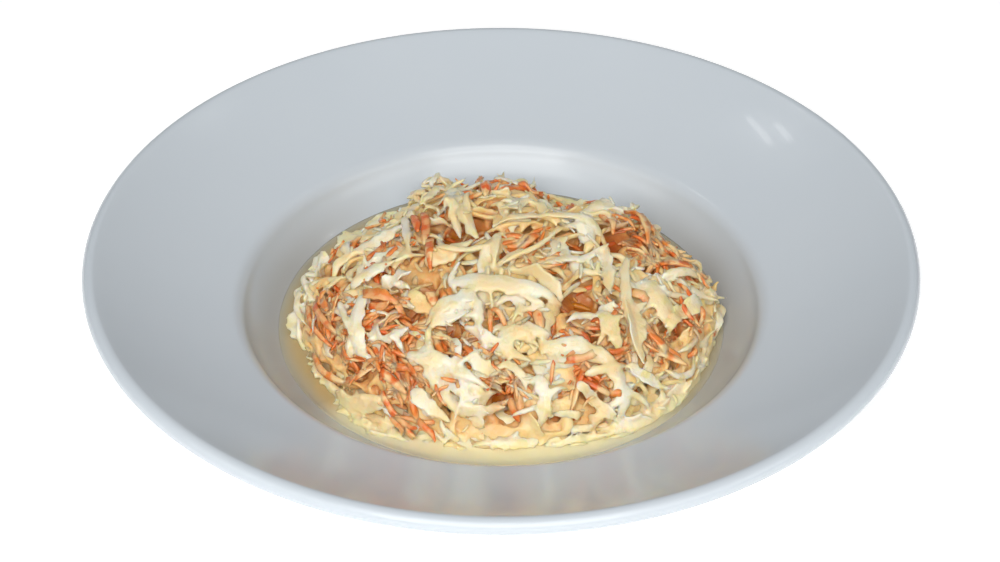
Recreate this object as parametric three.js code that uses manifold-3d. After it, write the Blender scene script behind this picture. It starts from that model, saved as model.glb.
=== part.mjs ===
// A portion of coleslaw in a wide-rimmed porcelain pasta bowl.
// Three solids: the bowl, the pool of dressing in its well, and the heap of shredded cabbage and carrot.
// Millimetres, +Z up. The origin is the middle of the foot ring's flat underside.
import * as THREE from "three";
import { mergeVertices } from "three/addons/utils/BufferGeometryUtils.js";
import Module from "manifold-3d";

const degrees = THREE.MathUtils.degToRad;
const TOUCH_GAP = 0.3; // between solids that touch
const WELD = 1e-3; // vertices closer than this are one

// ---------------------------------------------------------------- the bowl
const RIM_RADIUS = 140; // outermost point of the rolled lip
const LIP_RADIUS = 2.7; // of the lip's round section
const WALL = 5; // thickness of the porcelain
const FLOOR_HEIGHT = 9; // inside of the well, above the table
const FLOOR_RADIUS = 48; // where the well's floor starts to curve up
const WELL_REACH = 41.3; // half-axes of the elliptical curve of the well's side
const WELL_RISE = 21.5;
const WELL_TURN = degrees(75); // how far round that ellipse the side goes
const WELL_STEPS = 6;
const SHOULDER_RADIUS = 8; // rounding between the well and the rim
const RIM_SLOPE_INNER = degrees(18);
const RIM_SLOPE_OUTER = degrees(34);
const UNDERSIDE_SLOPE = degrees(30); // of the lip's underside, where it meets the rim's
const FOOT_OUTER_RADIUS = 63;
const FOOT_INNER_RADIUS = 56;
const FOOT_FILLET = 2;
const FOOT_RISE = 3; // height at which the foot ring's outside leaves the underside
const SHOULDER_STEPS = 3;
const RIM_STEPS = 4;
const LIP_TOP_STEPS = 5;
const LIP_UNDERSIDE_STEPS = 2;
const BOWL_SEGMENTS = 48;

// ------------------------------------------------------------ the dressing
const POOL_LEVEL = 15; // surface of the dressing above the table
const STEM_RADIUS = 52; // the heap's straight foot, which stands in the dressing

// ---------------------------------------------------------------- the heap
const HEART = new THREE.Vector3(2, -2, 13); // the point that the dome is measured from
const HEAP_WIDTH = 72; // half-axes of the dome's outer envelope
const HEAP_DEPTH = 66;
const HEAP_HEIGHT = 37;
const HEAP_FULLNESS = 2.2; // 2 is an ellipsoid, more is fuller at the shoulders
const CORE_INSET = 4.5; // the core lies this far inside the envelope
const TUCK = 1; // how far the ends of the shreds reach into the core
const CORE_RINGS = 9;
const CORE_SEGMENTS = 32;
const POOL_CLEARANCE = 0.4; // lowest edge of a shred above the dressing
const FLOAT_HEIGHT = 1; // middle of a shred that lies level there, above that edge
const STEM_MARGIN = 0.1; // extra gap between the core's turned facets and the bowl's
const STRAND_REACH = 71; // no shred goes further out, where the well's side rises

// Rises and hollows of the dome: where they are in plan, how much they add, and how far they spread.
const SWELLS = [
  { x: -21, y: 22, rise: 2, spread: 8 },
  { x: -2, y: 12, rise: 2, spread: 12 },
  { x: 42, y: 14, rise: 4, spread: 9 },
  { x: 27, y: 26, rise: -5, spread: 8 },
  { x: -44, y: 14, rise: -3, spread: 10 },
  { x: -30, y: -20, rise: 1.5, spread: 10 },
  { x: 20, y: -36, rise: 2, spread: 12 },
  { x: 58, y: -12, rise: 2, spread: 10 },
  { x: 0, y: -52, rise: -2, spread: 8 },
  { x: -66, y: 11, rise: 2, spread: 8 },
  { x: -55, y: 28, rise: -3.5, spread: 8 },
  { x: -38, y: 40, rise: -6.5, spread: 8 },
  { x: -26, y: 46, rise: 5.5, spread: 6 },
  { x: -12, y: 49, rise: -1.5, spread: 8 },
  { x: 24, y: 47, rise: -11, spread: 8 },
  { x: 62, y: 24, rise: -6, spread: 8 },
  { x: 71, y: 4, rise: 1.7, spread: 8 },
];

// Where grated carrot has clumped together, and the height from which a clump is laid on the dome.
const CLUMP_HEIGHT = 34;
const CARROT_CLUMPS = [
  { x: -62, y: -18, spread: 9 },
  { x: -38, y: -26, spread: 7 },
  { x: -33, y: -54, spread: 12 },
  { x: -26, y: -4, spread: 8 },
  { x: 8, y: -4, spread: 8 },
  { x: 44, y: 6, spread: 13 },
  { x: 2, y: -62, spread: 8 },
  { x: 22, y: -50, spread: 9 },
  { x: 52, y: -36, spread: 8 },
  { x: 4, y: 26, spread: 9 },
  { x: 30, y: 48, spread: 12 },
  { x: -40, y: 40, spread: 10 },
];

const CLUMPED = 2 / 3; // share of the carrot shreds that lie in a clump

// Ranges of length, width and height over the envelope. Bend and twist are the most that a shred
// may have, in radians over its whole length. The first middle lies at spiralTurn.
const CABBAGE = {
  count: 60,
  spiralTurn: 0.4,
  length: [18, 40],
  width: [5, 10.5],
  thickness: 1.5,
  segments: 3,
  top: [-2.6, 1.8],
  bend: 1.2,
  twist: 0.8,
};
const CARROT = {
  count: 30,
  spiralTurn: 2.1,
  length: [14, 28],
  width: [1.9, 2.5],
  thickness: 1.9,
  segments: 2,
  top: [-1.2, 2.4],
  bend: 0.9,
  twist: 0.5,
};
const ROLL = 0.5; // radians that a shred may lean to one side
const ARCH = 2.5; // how flat a shred stays in its middle before its ends go down
const TAPER = { least: 0.62, extra: 0.38, start: 0.18, span: 0.74 }; // of its width, along its length
const RAGGED = 0.16; // most unevenness of its width, as a share
const RAGGED_TURN = 7; // radians of that wave along its length
const STRAY = 0.9; // radians that a shred may turn away from its neighbours' direction
const GRAIN_ACROSS = { swing: 2.1, span: 21, shift: 0.7 }; // drift of that direction along x
const GRAIN_DEEP = { swing: 1.9, span: 17, shift: -0.4 }; // and along y
const FREE_ENDS = 0.25; // share of the shreds with one end out in the air
const FLICK = [0.5, 4]; // how far such an end lifts

// ------------------------------------------------------------------ colour
const PORCELAIN = new THREE.MeshStandardMaterial({ color: 0xd9e0e6, roughness: 0.12, metalness: 0 });
const SLAW = new THREE.MeshStandardMaterial({ color: 0xeadcb4, roughness: 0.4, metalness: 0 });
const DRESSING = new THREE.MeshStandardMaterial({ color: 0xefd8a2, roughness: 0.25, metalness: 0 });

// ------------------------------------------------------------------- tools
const wasm = await Module();
wasm.setup();

function toSolid(geometry) {
  const bare = new THREE.BufferGeometry();
  bare.setAttribute("position", geometry.getAttribute("position"));
  bare.setIndex(geometry.index);
  const merged = mergeVertices(bare, WELD);
  return new wasm.Manifold(
    new wasm.Mesh({
      numProp: 3,
      vertProperties: merged.getAttribute("position").array,
      triVerts: new Uint32Array(merged.index.array),
    }),
  );
}

function toGeometry(solid) {
  const mesh = solid.getMesh();
  const geometry = new THREE.BufferGeometry();
  geometry.setAttribute("position", new THREE.BufferAttribute(mesh.vertProperties, 3));
  geometry.setIndex(new THREE.BufferAttribute(mesh.triVerts, 1));
  geometry.computeVertexNormals();
  return geometry;
}

// The main body of a union, without loose scraps and with sealed hollows filled.
// Welding its vertices may close off another hollow, so it is looked at again until it is whole.
function largestBody(solid) {
  const bodies = solid.decompose().sort((a, b) => b.volume() - a.volume());
  const welded = toSolid(toGeometry(bodies[0]));
  return welded.decompose().length === 1 ? welded : largestBody(welded);
}

// Whether every edge of a solid has just two faces. Where more meet, the solid only touches itself.
function isSound(solid) {
  const geometry = toGeometry(solid);
  geometry.deleteAttribute("normal");
  const corners = mergeVertices(geometry, WELD).index.array;
  const faces = new Map();
  for (let i = 0; i < corners.length; i += 3) {
    const [a, b, c] = corners.slice(i, i + 3);
    if (a === b || b === c || c === a) continue;
    for (const ends of [[a, b], [b, c], [c, a]]) {
      const edge = `${Math.min(...ends)} ${Math.max(...ends)}`;
      faces.set(edge, (faces.get(edge) ?? 0) + 1);
    }
  }
  return [...faces.values()].every((count) => count === 2);
}

// Joins pieces to a body one by one, and leaves out any that would only touch it along an edge.
function fuse(body, pieces) {
  for (const piece of pieces) {
    const joined = largestBody(body.add(piece));
    if (isSound(joined)) body = joined;
  }
  return body;
}

// A repeatable number from 0 to 1 for each piece and each of its traits: the fraction of a large sine.
const TRAIT = {
  length: 1,
  width: 2,
  top: 3,
  free: 5,
  flick: 6,
  bend: 7,
  roll: 8,
  twist: 9,
  ragged: 10,
  phase: 11,
  stray: 12,
  clumped: 13,
  reach: 14,
  bearing: 15,
};
const PIECE_STEP = 12.9898;
const TRAIT_STEP = 78.233;
const SPREAD = 43758.5453;
function chance(piece, trait) {
  const value = Math.sin(piece * PIECE_STEP + trait * TRAIT_STEP) * SPREAD;
  return value - Math.floor(value);
}

// The same, from -1 to 1.
const eitherWay = (piece, trait) => 2 * chance(piece, trait) - 1;

const between = ([low, high], share) => low + (high - low) * share;

function namedMesh(name, geometry, material) {
  const mesh = new THREE.Mesh(geometry, material);
  mesh.name = name;
  return mesh;
}

// A profile of radius and height, turned round +Z.
function turned(profile, segments) {
  return new THREE.LatheGeometry(profile, segments).rotateX(Math.PI / 2);
}

// Points of a round stretch of outline that starts at a point and turns from one heading to another.
// A positive radius turns left, which is upwards for an outline that runs outwards.
function roundStretch(start, radius, from, to, steps) {
  const points = [];
  for (let i = 1; i <= steps; i++) {
    const heading = from + ((to - from) * i) / steps;
    points.push(
      new THREE.Vector2(
        start.x + radius * (Math.sin(heading) - Math.sin(from)),
        start.y + radius * (Math.cos(from) - Math.cos(heading)),
      ),
    );
  }
  return points;
}

// -------------------------------------------------------------------- bowl
function wellSide(turn) {
  return new THREE.Vector2(
    FLOOR_RADIUS + WELL_REACH * Math.sin(turn),
    FLOOR_HEIGHT + WELL_RISE * (1 - Math.cos(turn)),
  );
}

// Height of the bowl's inside at a radius within the well.
function wellHeight(radius) {
  if (radius <= FLOOR_RADIUS) return FLOOR_HEIGHT;
  const turn = Math.asin(Math.min(1, (radius - FLOOR_RADIUS) / WELL_REACH));
  return wellSide(turn).y;
}

// Inside of the bowl from the middle of its floor to the start of the lip.
function bowlInside() {
  const outline = [new THREE.Vector2(0, FLOOR_HEIGHT), new THREE.Vector2(FLOOR_RADIUS, FLOOR_HEIGHT)];
  for (let i = 1; i <= WELL_STEPS; i++) outline.push(wellSide((WELL_TURN * i) / WELL_STEPS));
  const slopeAtTop = Math.atan2(WELL_RISE * Math.sin(WELL_TURN), WELL_REACH * Math.cos(WELL_TURN));
  const wellTop = outline.at(-1);
  outline.push(...roundStretch(wellTop, -SHOULDER_RADIUS, slopeAtTop, RIM_SLOPE_INNER, SHOULDER_STEPS));
  const lipStart = RIM_RADIUS - LIP_RADIUS * (1 + Math.sin(RIM_SLOPE_OUTER));
  const rimCurve = (lipStart - outline.at(-1).x) / (Math.sin(RIM_SLOPE_OUTER) - Math.sin(RIM_SLOPE_INNER));
  outline.push(...roundStretch(outline.at(-1), rimCurve, RIM_SLOPE_INNER, RIM_SLOPE_OUTER, RIM_STEPS));
  return outline;
}

// Underside: the inside moved out by the wall's thickness, from the lip down to the foot.
function bowlUnderside(inside) {
  const moved = [];
  for (let i = inside.length - 2; i > 1; i -= 2) {
    const along = inside[i + 1].clone().sub(inside[i - 1]).normalize();
    const point = new THREE.Vector2(inside[i].x + along.y * WALL, inside[i].y - along.x * WALL);
    if (point.x > FOOT_OUTER_RADIUS + FOOT_FILLET && point.y > FOOT_FILLET) moved.push(point);
  }
  return moved;
}

function makeBowl() {
  const inside = bowlInside();
  const lipTop = roundStretch(inside.at(-1), -LIP_RADIUS, RIM_SLOPE_OUTER, -Math.PI / 2, LIP_TOP_STEPS);
  const lipEnd = UNDERSIDE_SLOPE - Math.PI;
  const lipBelow = roundStretch(lipTop.at(-1), -LIP_RADIUS, -Math.PI / 2, lipEnd, LIP_UNDERSIDE_STEPS);
  const foot = [
    new THREE.Vector2(FOOT_OUTER_RADIUS + FOOT_FILLET, FOOT_RISE),
    new THREE.Vector2(FOOT_OUTER_RADIUS, 0),
    new THREE.Vector2(FOOT_INNER_RADIUS, 0),
    new THREE.Vector2(FOOT_INNER_RADIUS - FOOT_FILLET, FLOOR_HEIGHT - WALL),
    new THREE.Vector2(0, FLOOR_HEIGHT - WALL),
  ];
  const outline = [...inside, ...lipTop, ...lipBelow, ...bowlUnderside(inside), ...foot];
  return namedMesh("bowl", turned(outline.reverse(), BOWL_SEGMENTS), PORCELAIN);
}

// ---------------------------------------------------------------- dressing
// The dressing lies on the well's side with the bowl's own facets, so that the gap between them is even.
function makeDressing() {
  const turns = [Math.asin((STEM_RADIUS + TOUCH_GAP - FLOOR_RADIUS) / WELL_REACH)];
  const shore = Math.acos(1 - (POOL_LEVEL - FLOOR_HEIGHT) / WELL_RISE);
  for (let i = 1; i <= WELL_STEPS; i++) {
    const turn = (WELL_TURN * i) / WELL_STEPS;
    if (turn > turns[0] && turn < shore) turns.push(turn);
  }
  const outline = [new THREE.Vector2(STEM_RADIUS + TOUCH_GAP, POOL_LEVEL)];
  for (const turn of turns) outline.push(wellSide(turn).add(new THREE.Vector2(-TOUCH_GAP / 2, TOUCH_GAP)));
  outline[1].x = outline[0].x;
  const shoreGap = TOUCH_GAP / Math.tan(shore / 2); // level gap to the side's slope at the shore
  outline.push(new THREE.Vector2(wellSide(shore).x - shoreGap, POOL_LEVEL), outline[0].clone());
  return namedMesh("dressing", turned(outline, BOWL_SEGMENTS), DRESSING);
}

// -------------------------------------------------------------------- heap
// Distance from the heart to the envelope along a unit direction.
function heapRadius(direction) {
  const flat = Math.hypot(direction.x / HEAP_WIDTH, direction.y / HEAP_DEPTH) ** HEAP_FULLNESS;
  const up = (Math.abs(direction.z) / HEAP_HEIGHT) ** HEAP_FULLNESS;
  const base = (flat + up) ** (-1 / HEAP_FULLNESS);
  const x = HEART.x + direction.x * base;
  const y = HEART.y + direction.y * base;
  let swell = 0;
  for (const s of SWELLS) {
    const away = (x - s.x) ** 2 + (y - s.y) ** 2;
    swell += s.rise * Math.exp(-away / (2 * s.spread ** 2));
  }
  return base + swell;
}

// Outward normal of the plain dome at a point near it.
function heapNormal(point) {
  const p = point.clone().sub(HEART);
  const flat = Math.hypot(p.x / HEAP_WIDTH, p.y / HEAP_DEPTH) + 1e-9;
  const share = flat ** (HEAP_FULLNESS - 2);
  return new THREE.Vector3(
    (share * p.x) / HEAP_WIDTH ** 2,
    (share * p.y) / HEAP_DEPTH ** 2,
    (Math.max(0, p.z) / HEAP_HEIGHT) ** (HEAP_FULLNESS - 1) / HEAP_HEIGHT + 1e-6,
  ).normalize();
}

// Middle of the nth of count pieces: a sunflower spiral over the dome, even by area.
// The dome is flatter at the top, so heights near the top are taken more often than heights near the foot.
const GOLDEN_ANGLE = Math.PI * (3 - Math.sqrt(5));
const FOOT_SHARE = 0.7; // how often a height at the foot is taken, against 1 on average
function spiralPlace(n, count, turn) {
  const below = 1 - (n + 0.5) / count;
  const spare = 1 - FOOT_SHARE;
  const level = (Math.sqrt(FOOT_SHARE ** 2 + 4 * spare * below) - FOOT_SHARE) / (2 * spare);
  const reach = Math.sqrt(1 - level ** 2);
  const azimuth = n * GOLDEN_ANGLE + turn;
  return new THREE.Vector3(
    HEAP_WIDTH * reach * Math.cos(azimuth),
    HEAP_DEPTH * reach * Math.sin(azimuth),
    HEAP_HEIGHT * level,
  ).add(HEART);
}

// Lays a point on the envelope, or on the dressing beyond the heap's foot.
function settle(point) {
  const direction = point.clone().sub(HEART).normalize();
  const laid = HEART.clone().addScaledVector(direction, heapRadius(direction));
  const shore = POOL_LEVEL + POOL_CLEARANCE;
  if (laid.z > shore + FLOAT_HEIGHT) return { place: laid, normal: heapNormal(laid) };
  const out = new THREE.Vector2(point.x, point.y);
  if (out.length() > STRAND_REACH) out.setLength(STRAND_REACH);
  return { place: new THREE.Vector3(out.x, out.y, shore + FLOAT_HEIGHT), normal: new THREE.Vector3(0, 0, 1) };
}

// Frames along a shred that is draped over the heap: centre, direction across it and direction out of it.
// It is walked step by step from one end, which lies half a length before its middle.
function drape(middle, heading, kind, traits) {
  let { place, normal } = settle(middle);
  const along = new THREE.Vector3(Math.cos(heading), Math.sin(heading), 0);
  along.addScaledVector(normal, -along.dot(normal)).normalize();
  ({ place, normal } = settle(place.clone().addScaledVector(along, -traits.length / 2)));
  const frames = [];
  for (let i = 0; i <= kind.segments; i++) {
    along.addScaledVector(normal, -along.dot(normal)).normalize();
    const s = i / kind.segments;
    const across = new THREE.Vector3().crossVectors(normal, along);
    const roll = traits.roll + traits.twist * (s - 0.5);
    const side = across.clone().multiplyScalar(Math.cos(roll)).addScaledVector(normal, Math.sin(roll));
    const out = new THREE.Vector3().crossVectors(along, side);
    frames.push({ centre: place.clone().addScaledVector(normal, shredLift(s, traits)), side, out });
    along.applyAxisAngle(normal, traits.bend / kind.segments);
    ({ place, normal } = settle(place.clone().addScaledVector(along, traits.length / kind.segments)));
  }
  return frames;
}

// Height of a shred's middle line over the envelope: both ends are tucked into the core, or the
// far end stands out in the air.
function shredLift(s, traits) {
  const fromMiddle = 2 * s - 1;
  if (traits.free && fromMiddle > 0) return traits.top + traits.flick * fromMiddle ** 2;
  return traits.top - (traits.top + CORE_INSET + TUCK) * Math.abs(fromMiddle) ** ARCH;
}

// A shred's width along its length: blunt where it was cut, narrower and uneven towards the tip.
function shredWidth(s, traits) {
  const taper = TAPER.least + TAPER.extra * Math.sin(Math.PI * (TAPER.start + TAPER.span * s));
  const uneven = 1 + traits.ragged * Math.sin(RAGGED_TURN * s + traits.phase);
  return traits.width * taper * uneven;
}

// A closed strip with four corners at each frame. Both broad faces are split the same way.
function stripGeometry(frames, kind, traits) {
  const corners = [];
  frames.forEach(({ centre, side, out }, i) => {
    const half = shredWidth(i / (frames.length - 1), traits) / 2;
    const quad = [
      [-half, -kind.thickness / 2],
      [half, -kind.thickness / 2],
      [half, kind.thickness / 2],
      [-half, kind.thickness / 2],
    ].map(([w, t]) => centre.clone().addScaledVector(side, w).addScaledVector(out, t));
    const lowest = Math.min(...quad.map((corner) => corner.z));
    const rise = Math.max(0, POOL_LEVEL + POOL_CLEARANCE - lowest);
    for (const corner of quad) corners.push(corner.x, corner.y, corner.z + rise);
  });
  const faces = [];
  for (let i = 0; i < frames.length - 1; i++) {
    const a = 4 * i;
    const b = a + 4;
    for (let k = 0; k < 4; k++) {
      const next = (k + 1) % 4;
      faces.push(a + k, b + next, b + k, a + k, a + next, b + next);
    }
  }
  const end = 4 * (frames.length - 1);
  faces.push(0, 2, 1, 0, 3, 2, end, end + 1, end + 2, end, end + 2, end + 3);
  const geometry = new THREE.BufferGeometry();
  geometry.setAttribute("position", new THREE.Float32BufferAttribute(corners, 3));
  geometry.setIndex(faces);
  return geometry;
}

// Neighbouring shreds lie roughly side by side, and the direction drifts over the heap.
function grainHeading(place, n) {
  const across = GRAIN_ACROSS.swing * Math.sin(place.x / GRAIN_ACROSS.span + GRAIN_ACROSS.shift);
  const deep = GRAIN_DEEP.swing * Math.cos(place.y / GRAIN_DEEP.span + GRAIN_DEEP.shift);
  return across + deep + STRAY * eitherWay(n, TRAIT.stray);
}

function shredTraits(kind, n) {
  return {
    length: between(kind.length, chance(n, TRAIT.length)),
    width: between(kind.width, chance(n, TRAIT.width)),
    top: between(kind.top, chance(n, TRAIT.top)),
    free: chance(n, TRAIT.free) < FREE_ENDS,
    flick: between(FLICK, chance(n, TRAIT.flick)),
    bend: kind.bend * eitherWay(n, TRAIT.bend),
    roll: ROLL * eitherWay(n, TRAIT.roll),
    twist: kind.twist * eitherWay(n, TRAIT.twist),
    ragged: RAGGED * chance(n, TRAIT.ragged),
    phase: 2 * Math.PI * chance(n, TRAIT.phase),
  };
}

function shred(kind, middle, heading, n) {
  const traits = shredTraits(kind, n);
  return toSolid(stripGeometry(drape(middle, heading, kind, traits), kind, traits));
}

function cabbageShreds() {
  const shreds = [];
  for (let n = 0; n < CABBAGE.count; n++) {
    const middle = spiralPlace(n, CABBAGE.count, CABBAGE.spiralTurn);
    shreds.push(shred(CABBAGE, middle, grainHeading(middle, n), n));
  }
  return shreds;
}

// A place somewhere in a clump, even by area.
function placeInClump(clump, id) {
  const reach = clump.spread * Math.sqrt(chance(id, TRAIT.reach));
  const bearing = 2 * Math.PI * chance(id, TRAIT.bearing);
  const x = clump.x + reach * Math.cos(bearing);
  const y = clump.y + reach * Math.sin(bearing);
  return new THREE.Vector3(x, y, CLUMP_HEIGHT);
}

// Most carrot shreds lie in a clump; the rest lie anywhere.
function carrotShreds() {
  const shreds = [];
  for (let n = 0; n < CARROT.count; n++) {
    const id = n + CABBAGE.count;
    const clump = CARROT_CLUMPS[n % CARROT_CLUMPS.length];
    const middle =
      chance(id, TRAIT.clumped) < CLUMPED
        ? placeInClump(clump, id)
        : spiralPlace(n, CARROT.count, CARROT.spiralTurn);
    shreds.push(shred(CARROT, middle, grainHeading(middle, id), id));
  }
  return shreds;
}

// The mass inside: the dome set in by a fixed depth, on a straight foot that stands in the dressing.
function makeCore() {
  const foot = POOL_LEVEL + TOUCH_GAP + STEM_MARGIN;
  const profile = [
    new THREE.Vector2(0, FLOOR_HEIGHT + TOUCH_GAP),
    new THREE.Vector2(FLOOR_RADIUS, FLOOR_HEIGHT + TOUCH_GAP),
    new THREE.Vector2(STEM_RADIUS, wellHeight(STEM_RADIUS) + TOUCH_GAP + STEM_MARGIN),
    new THREE.Vector2(STEM_RADIUS, foot),
  ];
  const stemPoints = profile.length;
  for (let i = 0; i <= CORE_RINGS; i++) {
    const polar = (Math.PI / 2) * (1 - i / CORE_RINGS);
    profile.push(new THREE.Vector2(Math.sin(polar), Math.cos(polar)));
  }
  const geometry = turned(profile, CORE_SEGMENTS);
  const position = geometry.getAttribute("position");
  const perColumn = profile.length;
  for (let i = 0; i < position.count; i++) {
    if (i % perColumn < stemPoints) continue;
    const direction = new THREE.Vector3(
      HEAP_WIDTH * position.getX(i),
      HEAP_DEPTH * position.getY(i),
      HEAP_HEIGHT * position.getZ(i),
    ).normalize();
    const place = HEART.clone().addScaledVector(direction, heapRadius(direction) - CORE_INSET);
    position.setXYZ(i, place.x, place.y, Math.max(foot, place.z));
  }
  return toSolid(geometry);
}

function makeColeslaw() {
  const heap = fuse(makeCore(), [...cabbageShreds(), ...carrotShreds()]);
  return namedMesh("coleslaw", toGeometry(heap), SLAW);
}

const portion = new THREE.Group();
portion.add(makeBowl(), makeDressing(), makeColeslaw());
export default portion;
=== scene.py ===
# %% [markdown]
# # A portion of coleslaw in a wide-rimmed porcelain bowl
#
# The frame gives three solids: the bowl, the pool of dressing in its well, and the heap.
# Here each is dressed: a finely turned bowl with a clear glaze, a wet pool with a soft edge,
# and a heap of real shreds, each a thin strip of its own, laid over a rough core.

# %% Load the frame
import math

import bpy
import numpy as np
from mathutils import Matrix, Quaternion, Vector
from mathutils.bvhtree import BVHTree


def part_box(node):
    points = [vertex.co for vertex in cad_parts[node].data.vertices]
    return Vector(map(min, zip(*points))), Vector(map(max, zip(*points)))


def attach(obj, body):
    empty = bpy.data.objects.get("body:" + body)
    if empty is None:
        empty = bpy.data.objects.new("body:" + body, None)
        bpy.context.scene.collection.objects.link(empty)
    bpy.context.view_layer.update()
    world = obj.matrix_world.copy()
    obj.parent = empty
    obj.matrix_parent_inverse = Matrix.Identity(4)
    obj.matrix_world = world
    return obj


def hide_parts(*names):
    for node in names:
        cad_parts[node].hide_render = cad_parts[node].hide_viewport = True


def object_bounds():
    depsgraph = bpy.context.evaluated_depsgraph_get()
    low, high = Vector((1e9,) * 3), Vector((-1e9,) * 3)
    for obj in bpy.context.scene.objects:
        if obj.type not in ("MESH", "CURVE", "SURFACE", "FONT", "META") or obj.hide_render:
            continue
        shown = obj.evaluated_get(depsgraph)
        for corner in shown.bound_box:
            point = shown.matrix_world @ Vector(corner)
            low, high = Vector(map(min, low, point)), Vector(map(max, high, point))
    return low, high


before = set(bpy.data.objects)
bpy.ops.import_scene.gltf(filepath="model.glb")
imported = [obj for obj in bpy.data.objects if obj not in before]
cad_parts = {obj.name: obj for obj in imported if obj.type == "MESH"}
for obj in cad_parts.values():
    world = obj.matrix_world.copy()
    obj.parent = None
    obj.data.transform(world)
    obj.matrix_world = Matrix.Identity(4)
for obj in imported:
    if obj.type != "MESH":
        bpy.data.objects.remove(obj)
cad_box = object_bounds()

MM = 0.001  # metres in a millimetre; shapes below are worked out in millimetres
print("nodes:", sorted(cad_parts))
print("box in mm:", [[round(v / MM, 1) for v in corner] for corner in cad_box])

# %% [markdown]
# ## Tools for meshes
#
# A shape here is a whole array of points, worked out at once. One function turns such arrays into
# a mesh object: it takes points in millimetres, and faces as arrays of corner numbers. It can also
# store a number for each point, which a material reads back as an attribute.

# %% Arrays to a mesh object
def add_mesh(name, points, faces, material, **attributes):
    """A mesh object from points (n, 3) in mm and a list of face arrays, each (m, corners)."""
    mesh = bpy.data.meshes.new(name)
    corners = np.concatenate([f.ravel() for f in faces]).astype(np.int32)
    sizes = np.concatenate([np.full(len(f), f.shape[1]) for f in faces])
    starts = np.concatenate([[0], np.cumsum(sizes)[:-1]]).astype(np.int32)
    mesh.vertices.add(len(points))
    mesh.vertices.foreach_set("co", (points * MM).astype(np.float32).ravel())
    mesh.loops.add(len(corners))
    mesh.loops.foreach_set("vertex_index", corners)
    mesh.polygons.add(len(starts))
    mesh.polygons.foreach_set("loop_start", starts)
    mesh.polygons.foreach_set("use_smooth", np.ones(len(starts), bool))
    mesh.update(calc_edges=True)
    for key, values in attributes.items():
        layer = mesh.attributes.new(key, "FLOAT", "POINT")
        layer.data.foreach_set("value", np.broadcast_to(values, len(points)).astype(np.float32))
    mesh.materials.append(material)
    piece = bpy.data.objects.new(name, mesh)
    bpy.context.scene.collection.objects.link(piece)
    print(f"{name}: {len(points)} points, {len(starts)} faces")
    return piece


def mesh_arrays(mesh):
    """The other way round: a mesh's points (n, 3) in metres and its triangles (m, 3)."""
    flat = np.empty(len(mesh.vertices) * 3, np.float32)
    mesh.vertices.foreach_get("co", flat)
    mesh.calc_loop_triangles()
    corners = np.empty(len(mesh.loop_triangles) * 3, np.int32)
    mesh.loop_triangles.foreach_get("vertices", corners)
    return flat.reshape(-1, 3), corners.reshape(-1, 3)


# %% [markdown]
# Most shapes here are grids of points bent round: rings round the bowl's axis, or sections along a
# shred. Their faces are the same quads each time, and two fans of triangles close a stack of rings.

# %% Grids and rings
def unit(vectors):
    """Vectors scaled to length one."""
    return vectors / np.linalg.norm(vectors, axis=-1, keepdims=True)


def grid_faces(rows, columns, close_rows=False):
    """Quads of a grid of rows by columns of points. The last column joins the first, and so does the
    last row where close_rows is set."""
    row, column = np.meshgrid(np.arange(rows - (not close_rows)), np.arange(columns), indexing="ij")
    beside = (column + 1) % columns
    here, above = row * columns, (row + 1) % rows * columns
    quads = here + column, here + beside, above + beside, above + column
    return np.stack([corner.ravel() for corner in quads], axis=1)


def around(radius, angle, height):
    """Points round the bowl's axis: radius times cosine, radius times sine, and height."""
    return np.stack(np.broadcast_arrays(radius * np.cos(angle), radius * np.sin(angle), height), axis=-1)


def full_turn(count):
    """Equal angles all the way round, in radians."""
    return np.arange(count) * 2 * math.pi / count


def closed_rings(rings, first_pole, last_pole):
    """Rings (count, turns, 3) joined by quads, with a fan of triangles from each end to its pole."""
    count, turns = rings.shape[:2]
    here = np.arange(turns)
    beside = (here + 1) % turns
    total = count * turns
    end = total - turns
    fans = [
        np.stack([np.full(turns, total), beside, here], axis=1),
        np.stack([end + here, end + beside, np.full(turns, total + 1)], axis=1),
    ]
    points = np.concatenate([rings.reshape(-1, 3), [first_pole, last_pole]])
    return points, [grid_faces(count, turns), np.concatenate(fans)]


# %% [markdown]
# ## Tools for materials
#
# Colours are easiest to choose as sRGB hex values, but Cycles works with linear light, so one
# function converts them. Another adds a shader node, sets it and wires it up in one line.

# %% Colours and shader nodes
def linear(hex_colour):
    """sRGB hex to linear RGBA: each channel by the sRGB curve."""
    channels = [int(hex_colour[i : i + 2], 16) / 255 for i in (1, 3, 5)]
    return [c / 12.92 if c <= 0.04045 else ((c + 0.055) / 1.055) ** 2.4 for c in channels] + [1.0]


def connect(tree, node, inputs):
    """Gives inputs of a node a value, a hex colour made linear, or a link from another node's output;
    a node given whole links by the first of its outputs in use."""
    for key, value in inputs.items():
        if isinstance(value, bpy.types.Node):
            value = next(output for output in value.outputs if output.enabled)
        if isinstance(value, bpy.types.NodeSocket):
            tree.links.new(value, node.inputs[key])
        else:
            node.inputs[key].default_value = linear(value) if isinstance(value, str) else value


def add_node(tree, kind, inputs=None, **settings):
    """A shader node with its properties set and its inputs connected."""
    node = tree.nodes.new(kind)
    for key, value in settings.items():
        setattr(node, key, value)
    connect(tree, node, inputs or {})
    return node


def new_material(name, **surface):
    """A material, its node tree, and its Principled shader with even values set on its own sockets."""
    material = bpy.data.materials.new(name)
    material.use_nodes = True
    shader = material.node_tree.nodes["Principled BSDF"]
    connect(material.node_tree, shader, {key.replace("_", " "): value for key, value in surface.items()})
    print("material:", name)
    return material, material.node_tree, shader
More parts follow.
